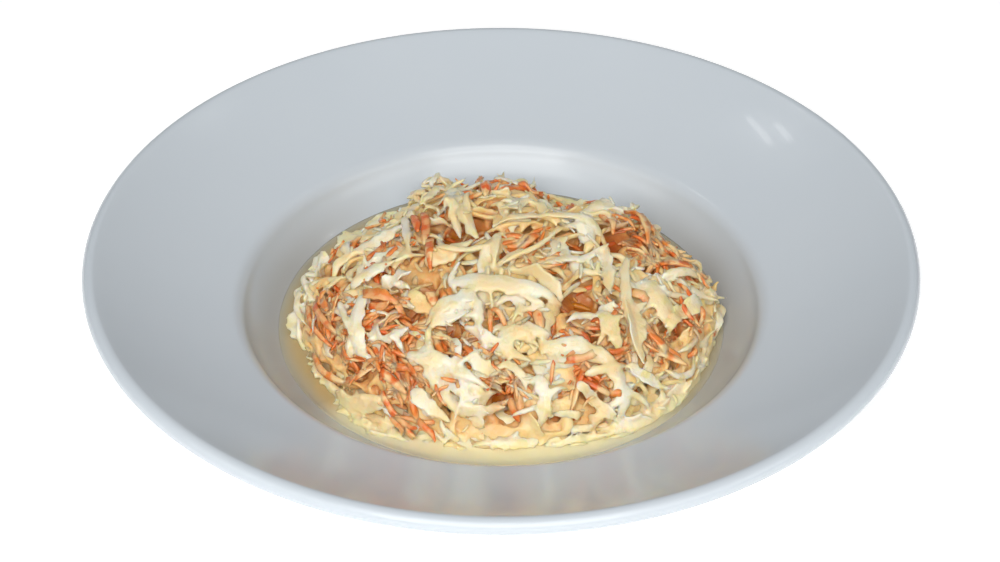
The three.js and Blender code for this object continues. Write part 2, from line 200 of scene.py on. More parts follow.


# %% [markdown]
# ## Glazed porcelain
#
# Porcelain is white clay fired until it is glassy, under a clear glaze. The eye sees a clean white
# with a thin sharp gloss, and long soft reflections that waver a little, because the glaze pooled
# as it melted. On the well's left and right side a painted shade turns the white grey, most at the
# foot of the side.

# %% Porcelain, clear glazed
GLAZE_POOLING = 26 * MM  # width of the faint unevenness of the glaze
CLAY_CLOUD = 60 * MM  # width of the faint clouds in the white

porcelain, tree, shader = new_material(
    "porcelain_clear_glazed", Roughness=0.22, IOR=1.5, Coat_Weight=0.15, Coat_Roughness=0.03
)
place = add_node(tree, "ShaderNodeTexCoord").outputs["Object"]
clouds = add_node(tree, "ShaderNodeTexNoise", {"Vector": place, "Scale": 1 / CLAY_CLOUD, "Detail": 2.0})
fired = add_node(tree, "ShaderNodeMix", {"Factor": clouds, "A": "#c4ccd3", "B": "#c9d0d6"}, data_type="RGBA")
smear = add_node(tree, "ShaderNodeAttribute", attribute_name="smear").outputs["Fac"]
# Painted shade: the well's left and right side turn grey towards their foot.
wall_shaded = add_node(tree, "ShaderNodeMix", {"Factor": smear, "A": fired, "B": "#a8a8a6"}, data_type="RGBA")
pooling = add_node(tree, "ShaderNodeTexNoise", {"Vector": place, "Scale": 1 / GLAZE_POOLING, "Detail": 1.0})
waver = add_node(tree, "ShaderNodeBump", {"Height": pooling, "Strength": 0.12, "Distance": 1.5 * MM})
connect(tree, shader, {"Base Color": wall_shaded, "Normal": waver})

# %% [markdown]
# The foot ring is wiped bare before firing, so that the bowl doesn't stick to the kiln's shelf. It is
# matt, gritty and a bit greyer than the glazed clay.

# %% Porcelain, bare
BISQUE_GRIT = 0.8 * MM  # grain of the bare clay, drawn about twice as coarse as it is
bisque, tree, shader = new_material("porcelain_bare_foot", Roughness=0.75, IOR=1.5)
place = add_node(tree, "ShaderNodeTexCoord").outputs["Object"]
grit = add_node(tree, "ShaderNodeTexNoise", {"Vector": place, "Scale": 1 / BISQUE_GRIT, "Detail": 3.0})
clay = add_node(tree, "ShaderNodeMix", {"Factor": grit, "A": "#c9c6bf", "B": "#dad8d2"}, data_type="RGBA")
rough = add_node(tree, "ShaderNodeBump", {"Height": grit, "Strength": 0.4, "Distance": 0.2 * MM})
connect(tree, shader, {"Base Color": clay, "Normal": rough})

# %% [markdown]
# ## The bowl
#
# A pasta bowl is pressed or turned: one outline spun round the middle. Its inside is a flat floor,
# a side that curves up like a quarter of an ellipse, a tight rounding over the shoulder, and a wide
# rim that steepens outwards and ends in a rolled lip. The solid from the frame has flat facets, so
# the same outline is worked out again here with close steps and spun in small turns.

# %% Outline of the inside
RIM_RADIUS = cad_box[1].x / MM
LIP_RADIUS = 2.7
WALL = 5.0
FLOOR_HEIGHT = 9.0
FLOOR_RADIUS = 48.0
WELL_REACH, WELL_RISE = 41.3, 21.5
WELL_TURN = math.radians(75)
SHOULDER_RADIUS = 8.0
RIM_SLOPE_INNER, RIM_SLOPE_OUTER = math.radians(18), math.radians(34)
UNDERSIDE_SLOPE = math.radians(30)


def well_side(turn):
    """The well's side: radius grows with the sine of the turn, height with one minus its cosine."""
    radius = FLOOR_RADIUS + WELL_REACH * np.sin(turn)
    return np.stack([radius, FLOOR_HEIGHT + WELL_RISE * (1 - np.cos(turn))], axis=-1)


def well_height(radius):
    """Height of the inside at a radius in the well: the floor, or the ellipse that rises from it."""
    share = np.clip((radius - FLOOR_RADIUS) / WELL_REACH, 0, 1)
    return FLOOR_HEIGHT + WELL_RISE * (1 - np.sqrt(1 - share**2))


def round_stretch(start, radius, begin, end, steps):
    """Points of an arc that leaves start at heading begin and turns to heading end."""
    heading = np.linspace(begin, end, steps + 1)[1:]
    across = radius * (np.sin(heading) - math.sin(begin))
    upward = radius * (math.cos(begin) - np.cos(heading))
    return np.asarray(start) + np.stack([across, upward], axis=-1)


floor_line = np.stack([np.linspace(0, FLOOR_RADIUS, 8), np.full(8, FLOOR_HEIGHT)], axis=-1)
side = well_side(np.linspace(0, WELL_TURN, 33)[1:])
slope_at_top = math.atan2(WELL_RISE * math.sin(WELL_TURN), WELL_REACH * math.cos(WELL_TURN))
shoulder = round_stretch(side[-1], -SHOULDER_RADIUS, slope_at_top, RIM_SLOPE_INNER, 12)
lip_start = RIM_RADIUS - LIP_RADIUS * (1 + math.sin(RIM_SLOPE_OUTER))
rim_curve = (lip_start - shoulder[-1][0]) / (math.sin(RIM_SLOPE_OUTER) - math.sin(RIM_SLOPE_INNER))
rim = round_stretch(shoulder[-1], rim_curve, RIM_SLOPE_INNER, RIM_SLOPE_OUTER, 20)
inside = np.concatenate([floor_line, side, shoulder, rim])
lip_top = round_stretch(rim[-1], -LIP_RADIUS, RIM_SLOPE_OUTER, -math.pi / 2, 14)
lip_below = round_stretch(lip_top[-1], -LIP_RADIUS, -math.pi / 2, UNDERSIDE_SLOPE - math.pi, 7)
print("inside outline points:", len(inside), "lip crest at mm:", lip_top[:, 1].max().round(2))

# %% [markdown]
# The wall is even, so the underside is the inside moved out by the wall's thickness, square to the
# outline. A foot ring with small rounded edges takes its place in the middle.

# %% Underside and foot
FOOT_OUTER_RADIUS, FOOT_INNER_RADIUS = 63.0, 56.0
FOOT_FILLET = 2.0
FOOT_EDGE = 0.6  # height of the rounding where the foot ring meets the table
JOIN_GAP = 3.0  # the offset outline starts this far outside the foot, and ends a little inside the lip

along = unit(np.gradient(inside, axis=0))
offset = inside + WALL * np.stack([along[:, 1], -along[:, 0]], axis=-1)
foot_top = (FOOT_OUTER_RADIUS + FOOT_FILLET, FOOT_FILLET + 1)
free = (offset[:, 0] > foot_top[0] + JOIN_GAP) & (offset[:, 0] < lip_below[-1][0] - 2)
underside = offset[free][::-1]
foot = np.array(
    [
        foot_top,
        (FOOT_OUTER_RADIUS + 0.6, FOOT_EDGE),
        (FOOT_OUTER_RADIUS - 0.4, 0.0),
        (FOOT_INNER_RADIUS + 0.4, 0.0),
        (FOOT_INNER_RADIUS - 0.5, FOOT_EDGE),
        (FOOT_INNER_RADIUS - FOOT_FILLET, FLOOR_HEIGHT - WALL - 0.6),
        (FOOT_INNER_RADIUS - FOOT_FILLET - 0.8, FLOOR_HEIGHT - WALL),
        (0.0, FLOOR_HEIGHT - WALL),
    ]
)
outline = np.concatenate([inside, lip_top, lip_below, underside, foot])[::-1]
print("outline points, once round the wall:", len(outline))

# %% [markdown]
# The outline is spun round the axis. Each point also gets its share of the painted shade on the well's
# sides, which the glaze's material reads, and the faces of the foot that stand on the table get the bare
# clay.

# %% Spin the bowl
BOWL_TURNS = 288
WALL_SHADE_TOP_RADIUS, WALL_SHADE_WIDTH = 92.0, 13.0  # the painted shade fades out up the well's side
WALL_SHADE_FROM, WALL_SHADE_OVER = 0.5, 0.45  # it starts at 60 degrees from the bowl's left-to-right line
BARE_HEIGHT, BARE_MARGIN = 0.7, 1.0  # faces of the foot below this, and this close to it, are bare


def smeared(points):
    """How much painted shade darkens the well's side: most at its foot, none above the shoulder, and only
    to the left and right."""
    radius = np.hypot(points[:, 0], points[:, 1])
    sideways = np.clip((np.abs(points[:, 0]) / np.maximum(radius, 1) - WALL_SHADE_FROM) / WALL_SHADE_OVER, 0, 1)
    up_the_side = np.clip((WALL_SHADE_TOP_RADIUS - radius) / WALL_SHADE_WIDTH, 0, 1)
    return sideways * up_the_side**2 * (3 - 2 * up_the_side) * (points[:, 2] > WALL)


rings = around(outline[1:-1, :1], full_turn(BOWL_TURNS), outline[1:-1, 1:])
points, faces = closed_rings(rings, (0, 0, outline[0][1]), (0, 0, outline[-1][1]))
bowl = add_mesh("porcelain_bowl", points, faces, porcelain, smear=smeared(points))
bowl.data.materials.append(bisque)
height = np.array([p.center.z for p in bowl.data.polygons]) / MM
reach = np.array([math.hypot(p.center.x, p.center.y) for p in bowl.data.polygons]) / MM
near_foot = (reach > FOOT_INNER_RADIUS - BARE_MARGIN) & (reach < FOOT_OUTER_RADIUS + BARE_MARGIN)
bare = near_foot & (height < BARE_HEIGHT)
bowl.data.polygons.foreach_set("material_index", bare.astype(np.int32))
print("bare faces on the foot:", bare.sum())
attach(bowl, "root")
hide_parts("bowl")

# %% [markdown]
# ## The form of the heap
#
# Slaw that is spooned into a bowl settles into a low dome, fuller at the shoulders than a ball, with
# swells and hollows where shreds bunch up. The form is a distance from one inner point, the heart,
# for each direction, so any point can be laid onto it by sliding it along its ray from the heart.
# Every shred uses this, so all of them follow the same form as the frame's solid.

# %% Envelope of the heap
POOL_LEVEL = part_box("dressing")[1].z / MM
HEART = np.array([2.0, -2.0, 13.0])
HEAP_WIDTH, HEAP_DEPTH, HEAP_HEIGHT = 72.0, 66.0, 37.0
HEAP_FULLNESS = 2.2
# Swells of the dome: x, y, how much they add, and how far they spread.
SWELLS = np.array(
    [
        (-21, 22, 2, 8), (-2, 12, 2, 12), (42, 14, 4, 9), (27, 26, -5, 8), (-44, 14, -3, 10),
        (-30, -20, 1.5, 10), (20, -36, 2, 12), (58, -12, 2, 10), (0, -52, -2, 8), (-66, 11, 2, 8),
        (-55, 28, -3.5, 8), (-38, 40, -6.5, 8), (-26, 46, 5.5, 6), (-12, 49, -1.5, 8), (24, 47, -11, 8),
        (62, 24, -6, 8), (71, 4, 1.7, 8),
    ],
    float,
)


def bells(place, spots, spread):
    """One bell curve per spot, at points in plan: e to minus the squared distance over twice the
    squared spread."""
    away = ((place[..., None, :2] - spots[:, :2]) ** 2).sum(-1)
    return np.exp(-away / (2 * spread**2))


def heap_radius(direction):
    """Distance from the heart to the form along unit directions: a rounded-box ellipsoid, plus the
    swells, each a bell curve over its spot in plan."""
    flat = np.hypot(direction[..., 0] / HEAP_WIDTH, direction[..., 1] / HEAP_DEPTH) ** HEAP_FULLNESS
    upward = (np.abs(direction[..., 2]) / HEAP_HEIGHT) ** HEAP_FULLNESS
    base = (flat + upward) ** (-1 / HEAP_FULLNESS)
    spot = HEART[:2] + direction[..., :2] * base[..., None]
    return base + (SWELLS[:, 2] * bells(spot, SWELLS, SWELLS[:, 3])).sum(-1)


def heap_normal(point):
    """Outward direction of the plain dome: the gradient of its formula."""
    p = point - HEART
    flat = np.hypot(p[..., 0] / HEAP_WIDTH, p[..., 1] / HEAP_DEPTH) + 1e-9
    share = flat ** (HEAP_FULLNESS - 2)
    across, away = share * p[..., 0] / HEAP_WIDTH**2, share * p[..., 1] / HEAP_DEPTH**2
    rise = (np.maximum(0, p[..., 2]) / HEAP_HEIGHT) ** (HEAP_FULLNESS - 1) / HEAP_HEIGHT + 1e-6
    return unit(np.stack([across, away, rise], axis=-1))


def depth_below(points, start, full):
    """How deep a point looks: 0 at start mm below the form, 1 at full mm below it."""
    ray = points - HEART
    below = heap_radius(unit(ray)) - np.linalg.norm(ray, axis=-1)
    return np.clip((below - start) / (full - start), 0, 1)


# %% [markdown]
# At its foot the heap stands in the dressing, and single shreds lie flat on the pool. On some
# stretches of the shore the pool stays clear, so shreds keep further in there.

# %% Settle points on the form
STRAND_REACH = 74.5
AFLOAT_HEIGHT = 1.2  # of a shred's middle line over the pool
CLEARANCE = 0.4  # between the porcelain and whatever lies on it
# Shores where the shreds keep further in: bearing and spread in degrees, and by how many mm.
CLEAR_SHORES = np.array([(270, 20, 6.5), (206, 12, 6.5), (163, 14, 5.0), (12, 14, 3.5), (345, 8, 2.0)])


def strand_reach(point):
    """How far out shreds may lie: a fixed reach, less a bell curve of the bearing at each clear shore:
    e to minus half the squared share of the shore's spread."""
    bearing = np.degrees(np.arctan2(point[..., 1], point[..., 0]))
    off = (bearing[..., None] - CLEAR_SHORES[:, 0] + 180) % 360 - 180
    return STRAND_REACH - (CLEAR_SHORES[:, 2] * np.exp(-((off / CLEAR_SHORES[:, 1]) ** 2) / 2)).sum(-1)


def settle(point):
    """Slides points along their ray from the heart onto the form, or onto the pool beyond its foot."""
    direction = unit(point - HEART)
    laid = HEART + direction * heap_radius(direction)[..., None]
    low = (laid[..., 2] < POOL_LEVEL + AFLOAT_HEIGHT)[..., None]
    reach = np.linalg.norm(point[..., :2], axis=-1)
    out = point[..., :2] * np.minimum(1, strand_reach(point) / np.maximum(reach, 1))[..., None]
    afloat = np.concatenate([out, np.full(out.shape[:-1] + (1,), POOL_LEVEL + AFLOAT_HEIGHT)], axis=-1)
    return np.where(low, afloat, laid), np.where(low, np.array([0.0, 0.0, 1.0]), heap_normal(laid))


def keep_clear(points):
    """Lifts whole stations so that no point sinks under the well's side or its floor."""
    reach = np.linalg.norm(points[..., :2], axis=-1)
    short = well_height(reach) + CLEARANCE - points[..., 2]
    points[..., 2] += np.maximum(0, short.max(-1, keepdims=True))
    return points


crown = HEART[2] + heap_radius(np.array([0.0, 0.0, 1.0]))
print("pool at mm:", round(POOL_LEVEL, 1), "crown of the form at mm:", crown.round(1))

# %% [markdown]
# ## Laying shreds
#
# A shred is a strip carried along a path. The path is walked step by step over the dome, for all
# shreds of a kind at once: at each step the walker is put back on the form, and the heading is laid
# flat on it again. The strip's height over the form, its width and its turn change along the way.
# Height makes the layers: one end is tucked in, the middle arches up, and some ends stand free.

# %% Walk the paths
def laid_flat(along, normal):
    """Headings with the part that points out of the surface taken away, at length one."""
    return unit(along - (along * normal).sum(-1, keepdims=True) * normal)


def drape(middle, heading, length, anchor, bend, wiggle, steps):
    """Walks each shred from its root in equal steps; bend is the turn over the whole length, wiggle
    an extra turn that swings to and fro. anchor is the share of the length before middle."""
    place, normal = settle(middle)
    along = laid_flat(around(1.0, heading, 0.0), normal)
    place, normal = settle(place - along * (length * anchor)[:, None])
    stations = []
    for i in range(steps + 1):
        along = laid_flat(along, normal)
        stations.append((place, normal, along))
        turn = bend / steps + wiggle * np.cos(2 * math.pi * i / steps) / steps
        across = np.cross(normal, along)
        along = along * np.cos(turn)[:, None] + across * np.sin(turn)[:, None]
        place, normal = settle(place + along * (length / steps)[:, None])
    return [np.stack(values, 1) for values in zip(*stations)]


# %% Strips along the paths
def strip_mesh(centre, normal, along, lift, half_left, half_right, thickness, roll, cup, section):
    """Strips as grids of stations by section corners. A corner lies across by its share of the half
    width and outwards by its share of the thickness, and the strip is dished by cup, which lifts its
    edges with the square of the distance from the middle."""
    across = np.cross(normal, along)
    side = across * np.cos(roll)[..., None] + normal * np.sin(roll)[..., None]
    out = np.cross(along, side)
    share, depth = section[:, 0], section[:, 1]
    half = np.where(share < 0, half_left[..., None], half_right[..., None])
    sideways = (share * half)[..., None]
    outwards = (depth * thickness[..., None] / 2 + cup[..., None] * share**2 * half)[..., None]
    base = centre + normal * lift[..., None]
    points = base[..., None, :] + side[..., None, :] * sideways + out[..., None, :] * outwards
    count, stations, corners = points.shape[:3]
    every = (np.arange(count) * stations * corners)[:, None, None]
    ring = np.arange(corners)
    caps = np.stack([ring[::-1], (stations - 1) * corners + ring])
    quads = grid_faces(stations, corners) + every
    return points, [quads.reshape(-1, 4), (caps + every).reshape(-1, corners)]


# %% [markdown]
# Where shreds lie: a sunflower spiral spreads their middles evenly, with a little scatter. Their cut
# ends are flat ovals for cabbage, and thicker, crooked ones for ribbons and carrot.

# %% Places and shared draws
GOLDEN_ANGLE = math.pi * (3 - math.sqrt(5))
FOOT_SHARE = 0.7  # how close the middles lie at the foot, where 1 is the mean over the dome
FLAT_SECTION = np.array(
    [(-1, 0), (-0.72, -0.75), (0, -1), (0.72, -0.75), (1, 0), (0.72, 0.75), (0, 1), (-0.72, 0.75)]
)
SLIM_SECTION = np.array([(-1, -0.3), (-0.3, -1), (0.8, -0.7), (1, 0.3), (0.2, 1), (-0.8, 0.7)])
ARCH_POWER = 2.2  # the higher, the longer a shred's flat middle and the steeper its ends


def spiral_places(count, turn):
    """The nth middle turns by the golden angle. Its level comes down so that the share of middles below
    a level is FOOT_SHARE times the level, plus the rest times its square."""
    below = 1 - (np.arange(count) + 0.5) / count
    spare = 1 - FOOT_SHARE
    level = (np.sqrt(FOOT_SHARE**2 + 4 * spare * below) - FOOT_SHARE) / (2 * spare)
    reach = np.sqrt(1 - level**2)
    azimuth = np.arange(count) * GOLDEN_ANGLE + turn
    across, away = HEAP_WIDTH * reach * np.cos(azimuth), HEAP_DEPTH * reach * np.sin(azimuth)
    return HEART + np.stack([across, away, HEAP_HEIGHT * level], axis=-1)


def lift_along(share, root, top, tip):
    """Height over the form along a shred: from the tucked root up to top in the middle and on to the
    tip, blended by a power of how far the station is from the middle."""
    far = np.abs(2 * share - 1) ** ARCH_POWER
    return top * (1 - far) + np.where(share < 0.5, root, tip) * far


# %% [markdown]
# ## Wet shreds: materials
#
# Raw cabbage is pale and lets light through; grated carrot is orange with a rough cut face. In
# coleslaw both are coated with a thin, milky dressing. The eye sees soft cream colours that glow a
# little at the edges, small wet glints, and golden or rusty colour deep down, where light only
# arrives after many bounces from shred to shred. Here that colour deep down is painted shade, which
# grows with depth below the heap's form.

# %% Material of the shreds
DRIFT = 16 * MM  # slow change of hue over the heap
COAT_PATCH = 4.5 * MM  # size of the patches where the dressing lies thicker
LUMP = 3.2 * MM  # lumps of the dressing that clings
VEIN = 1.2 * MM  # fine unevenness of a cut leaf
SOAK_FROM, SOAK_TO = 0.5, 4.5  # how far above the pool, in mm, the shreds are still under dressing
SOAK_SHARE = 0.6  # and how much of their colour it hides there
SOAKED = "#f8e4ae"
STAINED = "#f0ab66"  # dressing that has taken up carrot juice
STAIN_SHARE = 0.55


def shred_material(name, plant, coat, deep_shade, coated_share, scatter):
    """Plant colours by piece, with milky patches, turned to the painted shade colours with depth below the
    heap's form. plant, coat and the painted shade are pairs of colours: the piece's tone leads from the
    first to the second, and for the coat a slow drift does."""
    material, tree, shader = new_material(
        name,
        Roughness=0.34,
        IOR=1.45,
        Subsurface_Weight=scatter,
        Subsurface_Scale=3.0 * MM,
        Subsurface_Radius=(1.0, 0.7, 0.38),
        Coat_Weight=0.35,
        Coat_Roughness=0.14,
    )
    place = add_node(tree, "ShaderNodeTexCoord").outputs["Object"]
    above_pool = add_node(tree, "ShaderNodeSeparateXYZ", {"Vector": place}).outputs["Z"]
    tone, depth, stain = (
        add_node(tree, "ShaderNodeAttribute", attribute_name=key).outputs["Fac"]
        for key in ("tone", "depth", "stain")
    )
    slow, patchy, lumpy, veined = (
        add_node(tree, "ShaderNodeTexNoise", {"Vector": place, "Scale": 1 / size, "Detail": detail})
        for size, detail in ((DRIFT, 1.0), (COAT_PATCH, 3.0), (LUMP, 3.0), (VEIN, 2.0))
    )
    ramps = (
        (slow.outputs["Fac"], 0.38, 0.62),
        (patchy.outputs["Fac"], 0.68 - coated_share, 0.86 - coated_share),
        (above_pool, (POOL_LEVEL + SOAK_FROM) * MM, (POOL_LEVEL + SOAK_TO) * MM),
    )
    drift, milky, drained = (
        add_node(
            tree,
            "ShaderNodeMapRange",
            {"Value": value, "From Min": low, "From Max": high},
            interpolation_type="SMOOTHSTEP",
        )
        for value, low, high in ramps
    )
    clean, coating, deep_shaded = (
        add_node(tree, "ShaderNodeMix", {"Factor": factor, "A": first, "B": second}, data_type="RGBA")
        for factor, (first, second) in ((tone, plant), (drift, coat), (tone, deep_shade))
    )
    juice = add_node(tree, "ShaderNodeMath", {0: stain, 1: STAIN_SHARE}, operation="MULTIPLY")
    colour = clean
    # Painted shade: further below the heap's form the colour turns to the dark golden or rusty shade colours.
    for factor, over in ((milky, coating), (juice, STAINED), (depth, deep_shaded)):
        colour = add_node(tree, "ShaderNodeMix", {"Factor": factor, "A": colour, "B": over}, data_type="RGBA")
    soaked = {"Factor": SOAK_SHARE, "A": colour, "B": SOAKED}
    soaked = add_node(tree, "ShaderNodeMix", soaked, data_type="RGBA")
    colour = add_node(tree, "ShaderNodeMix", {"Factor": drained, "A": soaked, "B": colour}, data_type="RGBA")
    relief = add_node(tree, "ShaderNodeBump", {"Height": lumpy, "Strength": 0.7, "Distance": 0.9 * MM})
    relief = add_node(
        tree, "ShaderNodeBump", {"Height": veined, "Strength": 0.35, "Distance": 0.3 * MM, "Normal": relief}
    )
    connect(tree, shader, {"Base Color": colour, "Normal": relief})
    return material


# %% Cabbage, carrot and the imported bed
cabbage_wet = shred_material(
    "white_cabbage_cut_in_dressing",
    plant=("#f0e1c2", "#e7d693"),
    coat=("#f3e8d0", "#f1d5a2"),
    deep_shade=("#c97a22", "#c88626"),
    coated_share=0.35,
    scatter=0.85,
)
carrot_wet = shred_material(
    "carrot_grated_in_dressing",
    plant=("#e16528", "#ee8e42"),
    coat=("#f0aa70", "#f3c994"),
    deep_shade=("#b84a0c", "#c8621a"),
    coated_share=0.27,
    scatter=0.7,
)
bed_wet = shred_material(
    "slaw_packed_and_soaked",
    plant=("#f0d698", "#e07d34"),
    coat=("#f3dcaa", "#f0c282"),
    deep_shade=("#bf7622", "#a8440c"),
    coated_share=0.26,
    scatter=0.8,
)

# %% [markdown]
# ## Pits and carrot clumps
#
# A heap of slaw isn't even. Here and there no shred bridges a gap, so one looks down into the heap,
# and grated carrot clings together in clumps when it is mixed in. Both are lists of spots in plan.

# %% Pits and clumps
# Open pits: x, y, radius and extra depth.
PITS = np.array(
    [
        (26.5, -28.5, 4.4, 6), (0.5, -60.5, 4, 6), (-15.5, -41, 2.8, 4), (-17.5, -56, 2.6, 4),
        (-30, -14.5, 2.3, 4), (-45, 13, 3.6, 3), (-4, 9, 3, 4), (-17, 7.5, 5, 5.5), (-21, 26, 3, 4),
        (38.5, 3.5, 4.4, 6), (25.3, -1.3, 2.8, 4), (-29.5, -34, 2.6, 4), (-47, -43, 2.6, 4),
        (30, -42, 2.8, 4), (29.5, -59, 2.6, 4), (61.5, -25, 2.6, 4), (-55, -9, 3, 4), (5, -7, 2.6, 4),
        (12, 38, 3, 4), (-30, 44, 3, 3), (52, 28, 3.2, 4), (-17, -1, 3.4, 4), (-23, -22, 3, 4),
        (34, 16, 3, 5), (-60, 6, 4, 3), (60, 14, 3.6, 4),
    ],
    float,
)
# Clumps of carrot: x, y, how far they spread, the heading of their shreds in degrees, and how many.
CLUMPS = np.array(
    [
        (-38, -27, 7, -20, 16), (-18, -28, 5, -80, 14), (-14, -45, 5, -80, 14), (1, -62, 5, -85, 18),
        (40, 2, 8, -60, 34), (53, 3, 6, -50, 14), (46, 12, 7, -40, 16), (7, -5, 6, 20, 16),
        (-25, -4, 7, -80, 20), (-57, -32, 6, -60, 14), (-63, -19, 7, -68, 30), (27, -29, 5, 10, 8),
        (-17, -58, 5, -85, 6), (-33, -56, 6, -85, 24), (-46, -45, 7, -50, 14), (-5, -36, 5, -75, 10),
        (49, -38, 6, -40, 14), (30, -47, 7, 8, 14), (-7, 16, 5, 20, 8), (-4, 44, 6, 20, 12),
        (10, 46, 6, 40, 10), (65, -22, 6, -60, 16), (-40, 40, 6, 30, 8), (30, 50, 7, 60, 10),
        (17, -36, 6, -80, 16), (-52, 14, 7, 30, 10), (30, -62, 4, -70, 8),
    ],
    float,
)
CLUMP_CORE = 0.75  # share of a clump's spread where the slaw is mostly carrot
PIT_CORE = 0.9  # share of a pit's radius that no shred may cross


print("pits:", len(PITS), "clumps:", len(CLUMPS), "with carrot shreds:", int(CLUMPS[:, 4].sum()))


def carrot_share(place):
    """How much of the slaw is carrot at points in plan: a bell curve over each clump."""
    return np.clip(bells(place, CLUMPS, CLUMP_CORE * CLUMPS[:, 2]).sum(-1), 0, 1)


def pit_depth(place):
    """Extra depth at points in plan: a bell curve over each pit."""
    return (PITS[:, 3] * bells(place, PITS, PITS[:, 2])).sum(-1)


def in_pit(path):
    """Which paths, each a row of stations, cross an open pit."""
    away = np.sqrt(((path[..., None, :2] - PITS[:, :2]) ** 2).sum(-1))
    return (away < PIT_CORE * PITS[:, 2]).any((1, 2))


# %% [markdown]
# ## The core
#
# Under the shreds that show lie more, packed tight and never seen one by one. A closed dome set a
# few millimetres in, deeper at the pits, stands for them.

# %% Core points
CORE_INSET = 6.5
CORE_RINGS, CORE_TURNS = 48, 132
CORE_SINK = 2.0  # how far the core's foot lies under the pool's level
STEM_FLARE = 0.5  # rise from the stem's inner ring to its outer one
STEM_RADIUS = 52.0  # of the part of the heap that stands on the well's floor


def core_shell():
    """The dome set in by a fixed depth, in rings from the stem's foot to the top, closed by poles."""
    polar = np.linspace(math.pi / 2, 0, CORE_RINGS)[:-1, None]
    azimuth = full_turn(CORE_TURNS)
    across, away = HEAP_WIDTH * np.sin(polar) * np.cos(azimuth), HEAP_DEPTH * np.sin(polar) * np.sin(azimuth)
    upward = HEAP_HEIGHT * np.cos(polar) * np.ones(CORE_TURNS)
    direction = unit(np.stack([across, away, upward], axis=-1))
    dome = HEART + direction * (heap_radius(direction) - CORE_INSET)[..., None]
    dome -= direction * pit_depth(dome)[..., None]
    dome[..., 2] = np.maximum(dome[..., 2], POOL_LEVEL - CORE_SINK)
    foot_height = FLOOR_HEIGHT + CLEARANCE
    stem = np.array([(FLOOR_RADIUS, foot_height), (STEM_RADIUS, foot_height + STEM_FLARE)])
    stem = around(stem[:, :1], azimuth, stem[:, 1:])
    crown = HEART + [0, 0, heap_radius(np.array([0.0, 0.0, 1.0])) - CORE_INSET]
    return closed_rings(np.concatenate([stem, dome]), (0, 0, foot_height), crown)


# %% [markdown]
# ## Strips of slaw
#
# A cabbage cut by hand gives two kinds of pieces: ribbons, and broader flakes with torn, lobed
# edges that fork where a rib split. A flake here is a blade with a wandering edge, and prongs that
# start on it and lean away. The pieces overlap, and are fused further down.

# %% Draw and lay strips
TIP_RISE, TIP_SINK = (0.5, 4.0), (1.0, 4.5)  # how far a free tip stands up, or a tucked one goes down
LIFT_WAVES = (0.9, 1.9)
EDGE_WAVES = (1.3, 3.1, 5.3), (1.6, 2.7, 4.6)  # of the left and the right torn edge
CUP_SPREAD = 0.35
WIDTH_POWER = 1.4  # over 1, so that narrow pieces are more common than wide ones
ROOT_SHARE = (0.3, 0.6)  # of the length before the middle


def smooth_noise(rng, count, stations, waves):
    """A few sine waves along each piece with drawn phases and sizes, about -1 to 1."""
    share = np.linspace(0, 1, stations)
    total = np.zeros((count, stations))
    for wave in waves:
        size, phase = rng.uniform(0.4, 1, (count, 1)), rng.random((count, 1))
        total += size * np.sin(2 * math.pi * (wave * share + phase))
    return total / math.sqrt(len(waves))


def draw_sizes(rng, kind, count):
    """Length, width, total turn and share of the length before the middle for each piece."""
    low, high = kind["width"]
    return (
        rng.uniform(*kind["length"], count),
        low + (high - low) * rng.random(count) ** WIDTH_POWER,
        rng.normal(0, kind["bend"], count),
        rng.uniform(*ROOT_SHARE, count),
    )


def lay(rng, middle, heading, kind, layer, sizes=None, open_pits=True):
    """Strips over the form. kind holds ranges of sizes and how uneven they are; layer the range of the
    middle's height over the form, how much lower the root is, and the share of free tips."""
    count, stations, section = len(middle), kind["stations"], kind["section"]
    length, width, turn, anchor = draw_sizes(rng, kind, count) if sizes is None else sizes
    sway = rng.normal(0, kind["sway"], count)
    path = drape(middle, heading, length, anchor, turn, sway, stations - 1)
    kept = ~in_pit(path[0]) if open_pits else np.ones(count, bool)
    centre, normal, along = (values[kept] for values in path)
    width, count = width[kept], kept.sum()
    share = np.linspace(0, 1, stations)
    top = rng.uniform(*layer["top"], count)[:, None]
    root = top - rng.uniform(*layer["root"], count)[:, None]
    is_free = (rng.random(count) < layer["free"])[:, None]
    raised, tucked = rng.uniform(*TIP_RISE, count)[:, None], rng.uniform(*TIP_SINK, count)[:, None]
    lift = lift_along(share, root, top, np.where(is_free, top + raised, top - tucked))
    lift = lift + kind["wave"] * smooth_noise(rng, count, stations, LIFT_WAVES)
    if not open_pits:
        lift -= pit_depth(centre)
    taper = np.clip(kind["butt"] + 3 * share, 0, 1) * np.clip(kind["point"] + 2.2 * (1 - share), 0, 1)
    half = width[:, None] / 2 * taper
    left, right = (
        half * (1 + kind["ragged"] * smooth_noise(rng, count, stations, waves)) for waves in EDGE_WAVES
    )
    thin_ends = np.clip(0.6 + 2.5 * np.minimum(share, 1 - share), 0, 1)
    thickness = rng.uniform(*kind["thickness"], count)[:, None] * thin_ends
    lean, twist = rng.normal(0, kind["lean"], count)[:, None], rng.normal(0, kind["twist"], count)[:, None]
    cup = rng.normal(0, CUP_SPREAD, count)[:, None] * np.ones(stations)
    roll = lean + twist * (share - 0.5)
    points, faces = strip_mesh(centre, normal, along, lift, left, right, thickness, roll, cup, section)
    tone = np.repeat(rng.random(count), stations * len(section))
    return keep_clear(points).reshape(-1, 3), faces, tone, (centre, along)


# %% Forks, and batches as one
FORK_ANGLE = (0.35, 1.1)  # radians between a prong and its blade


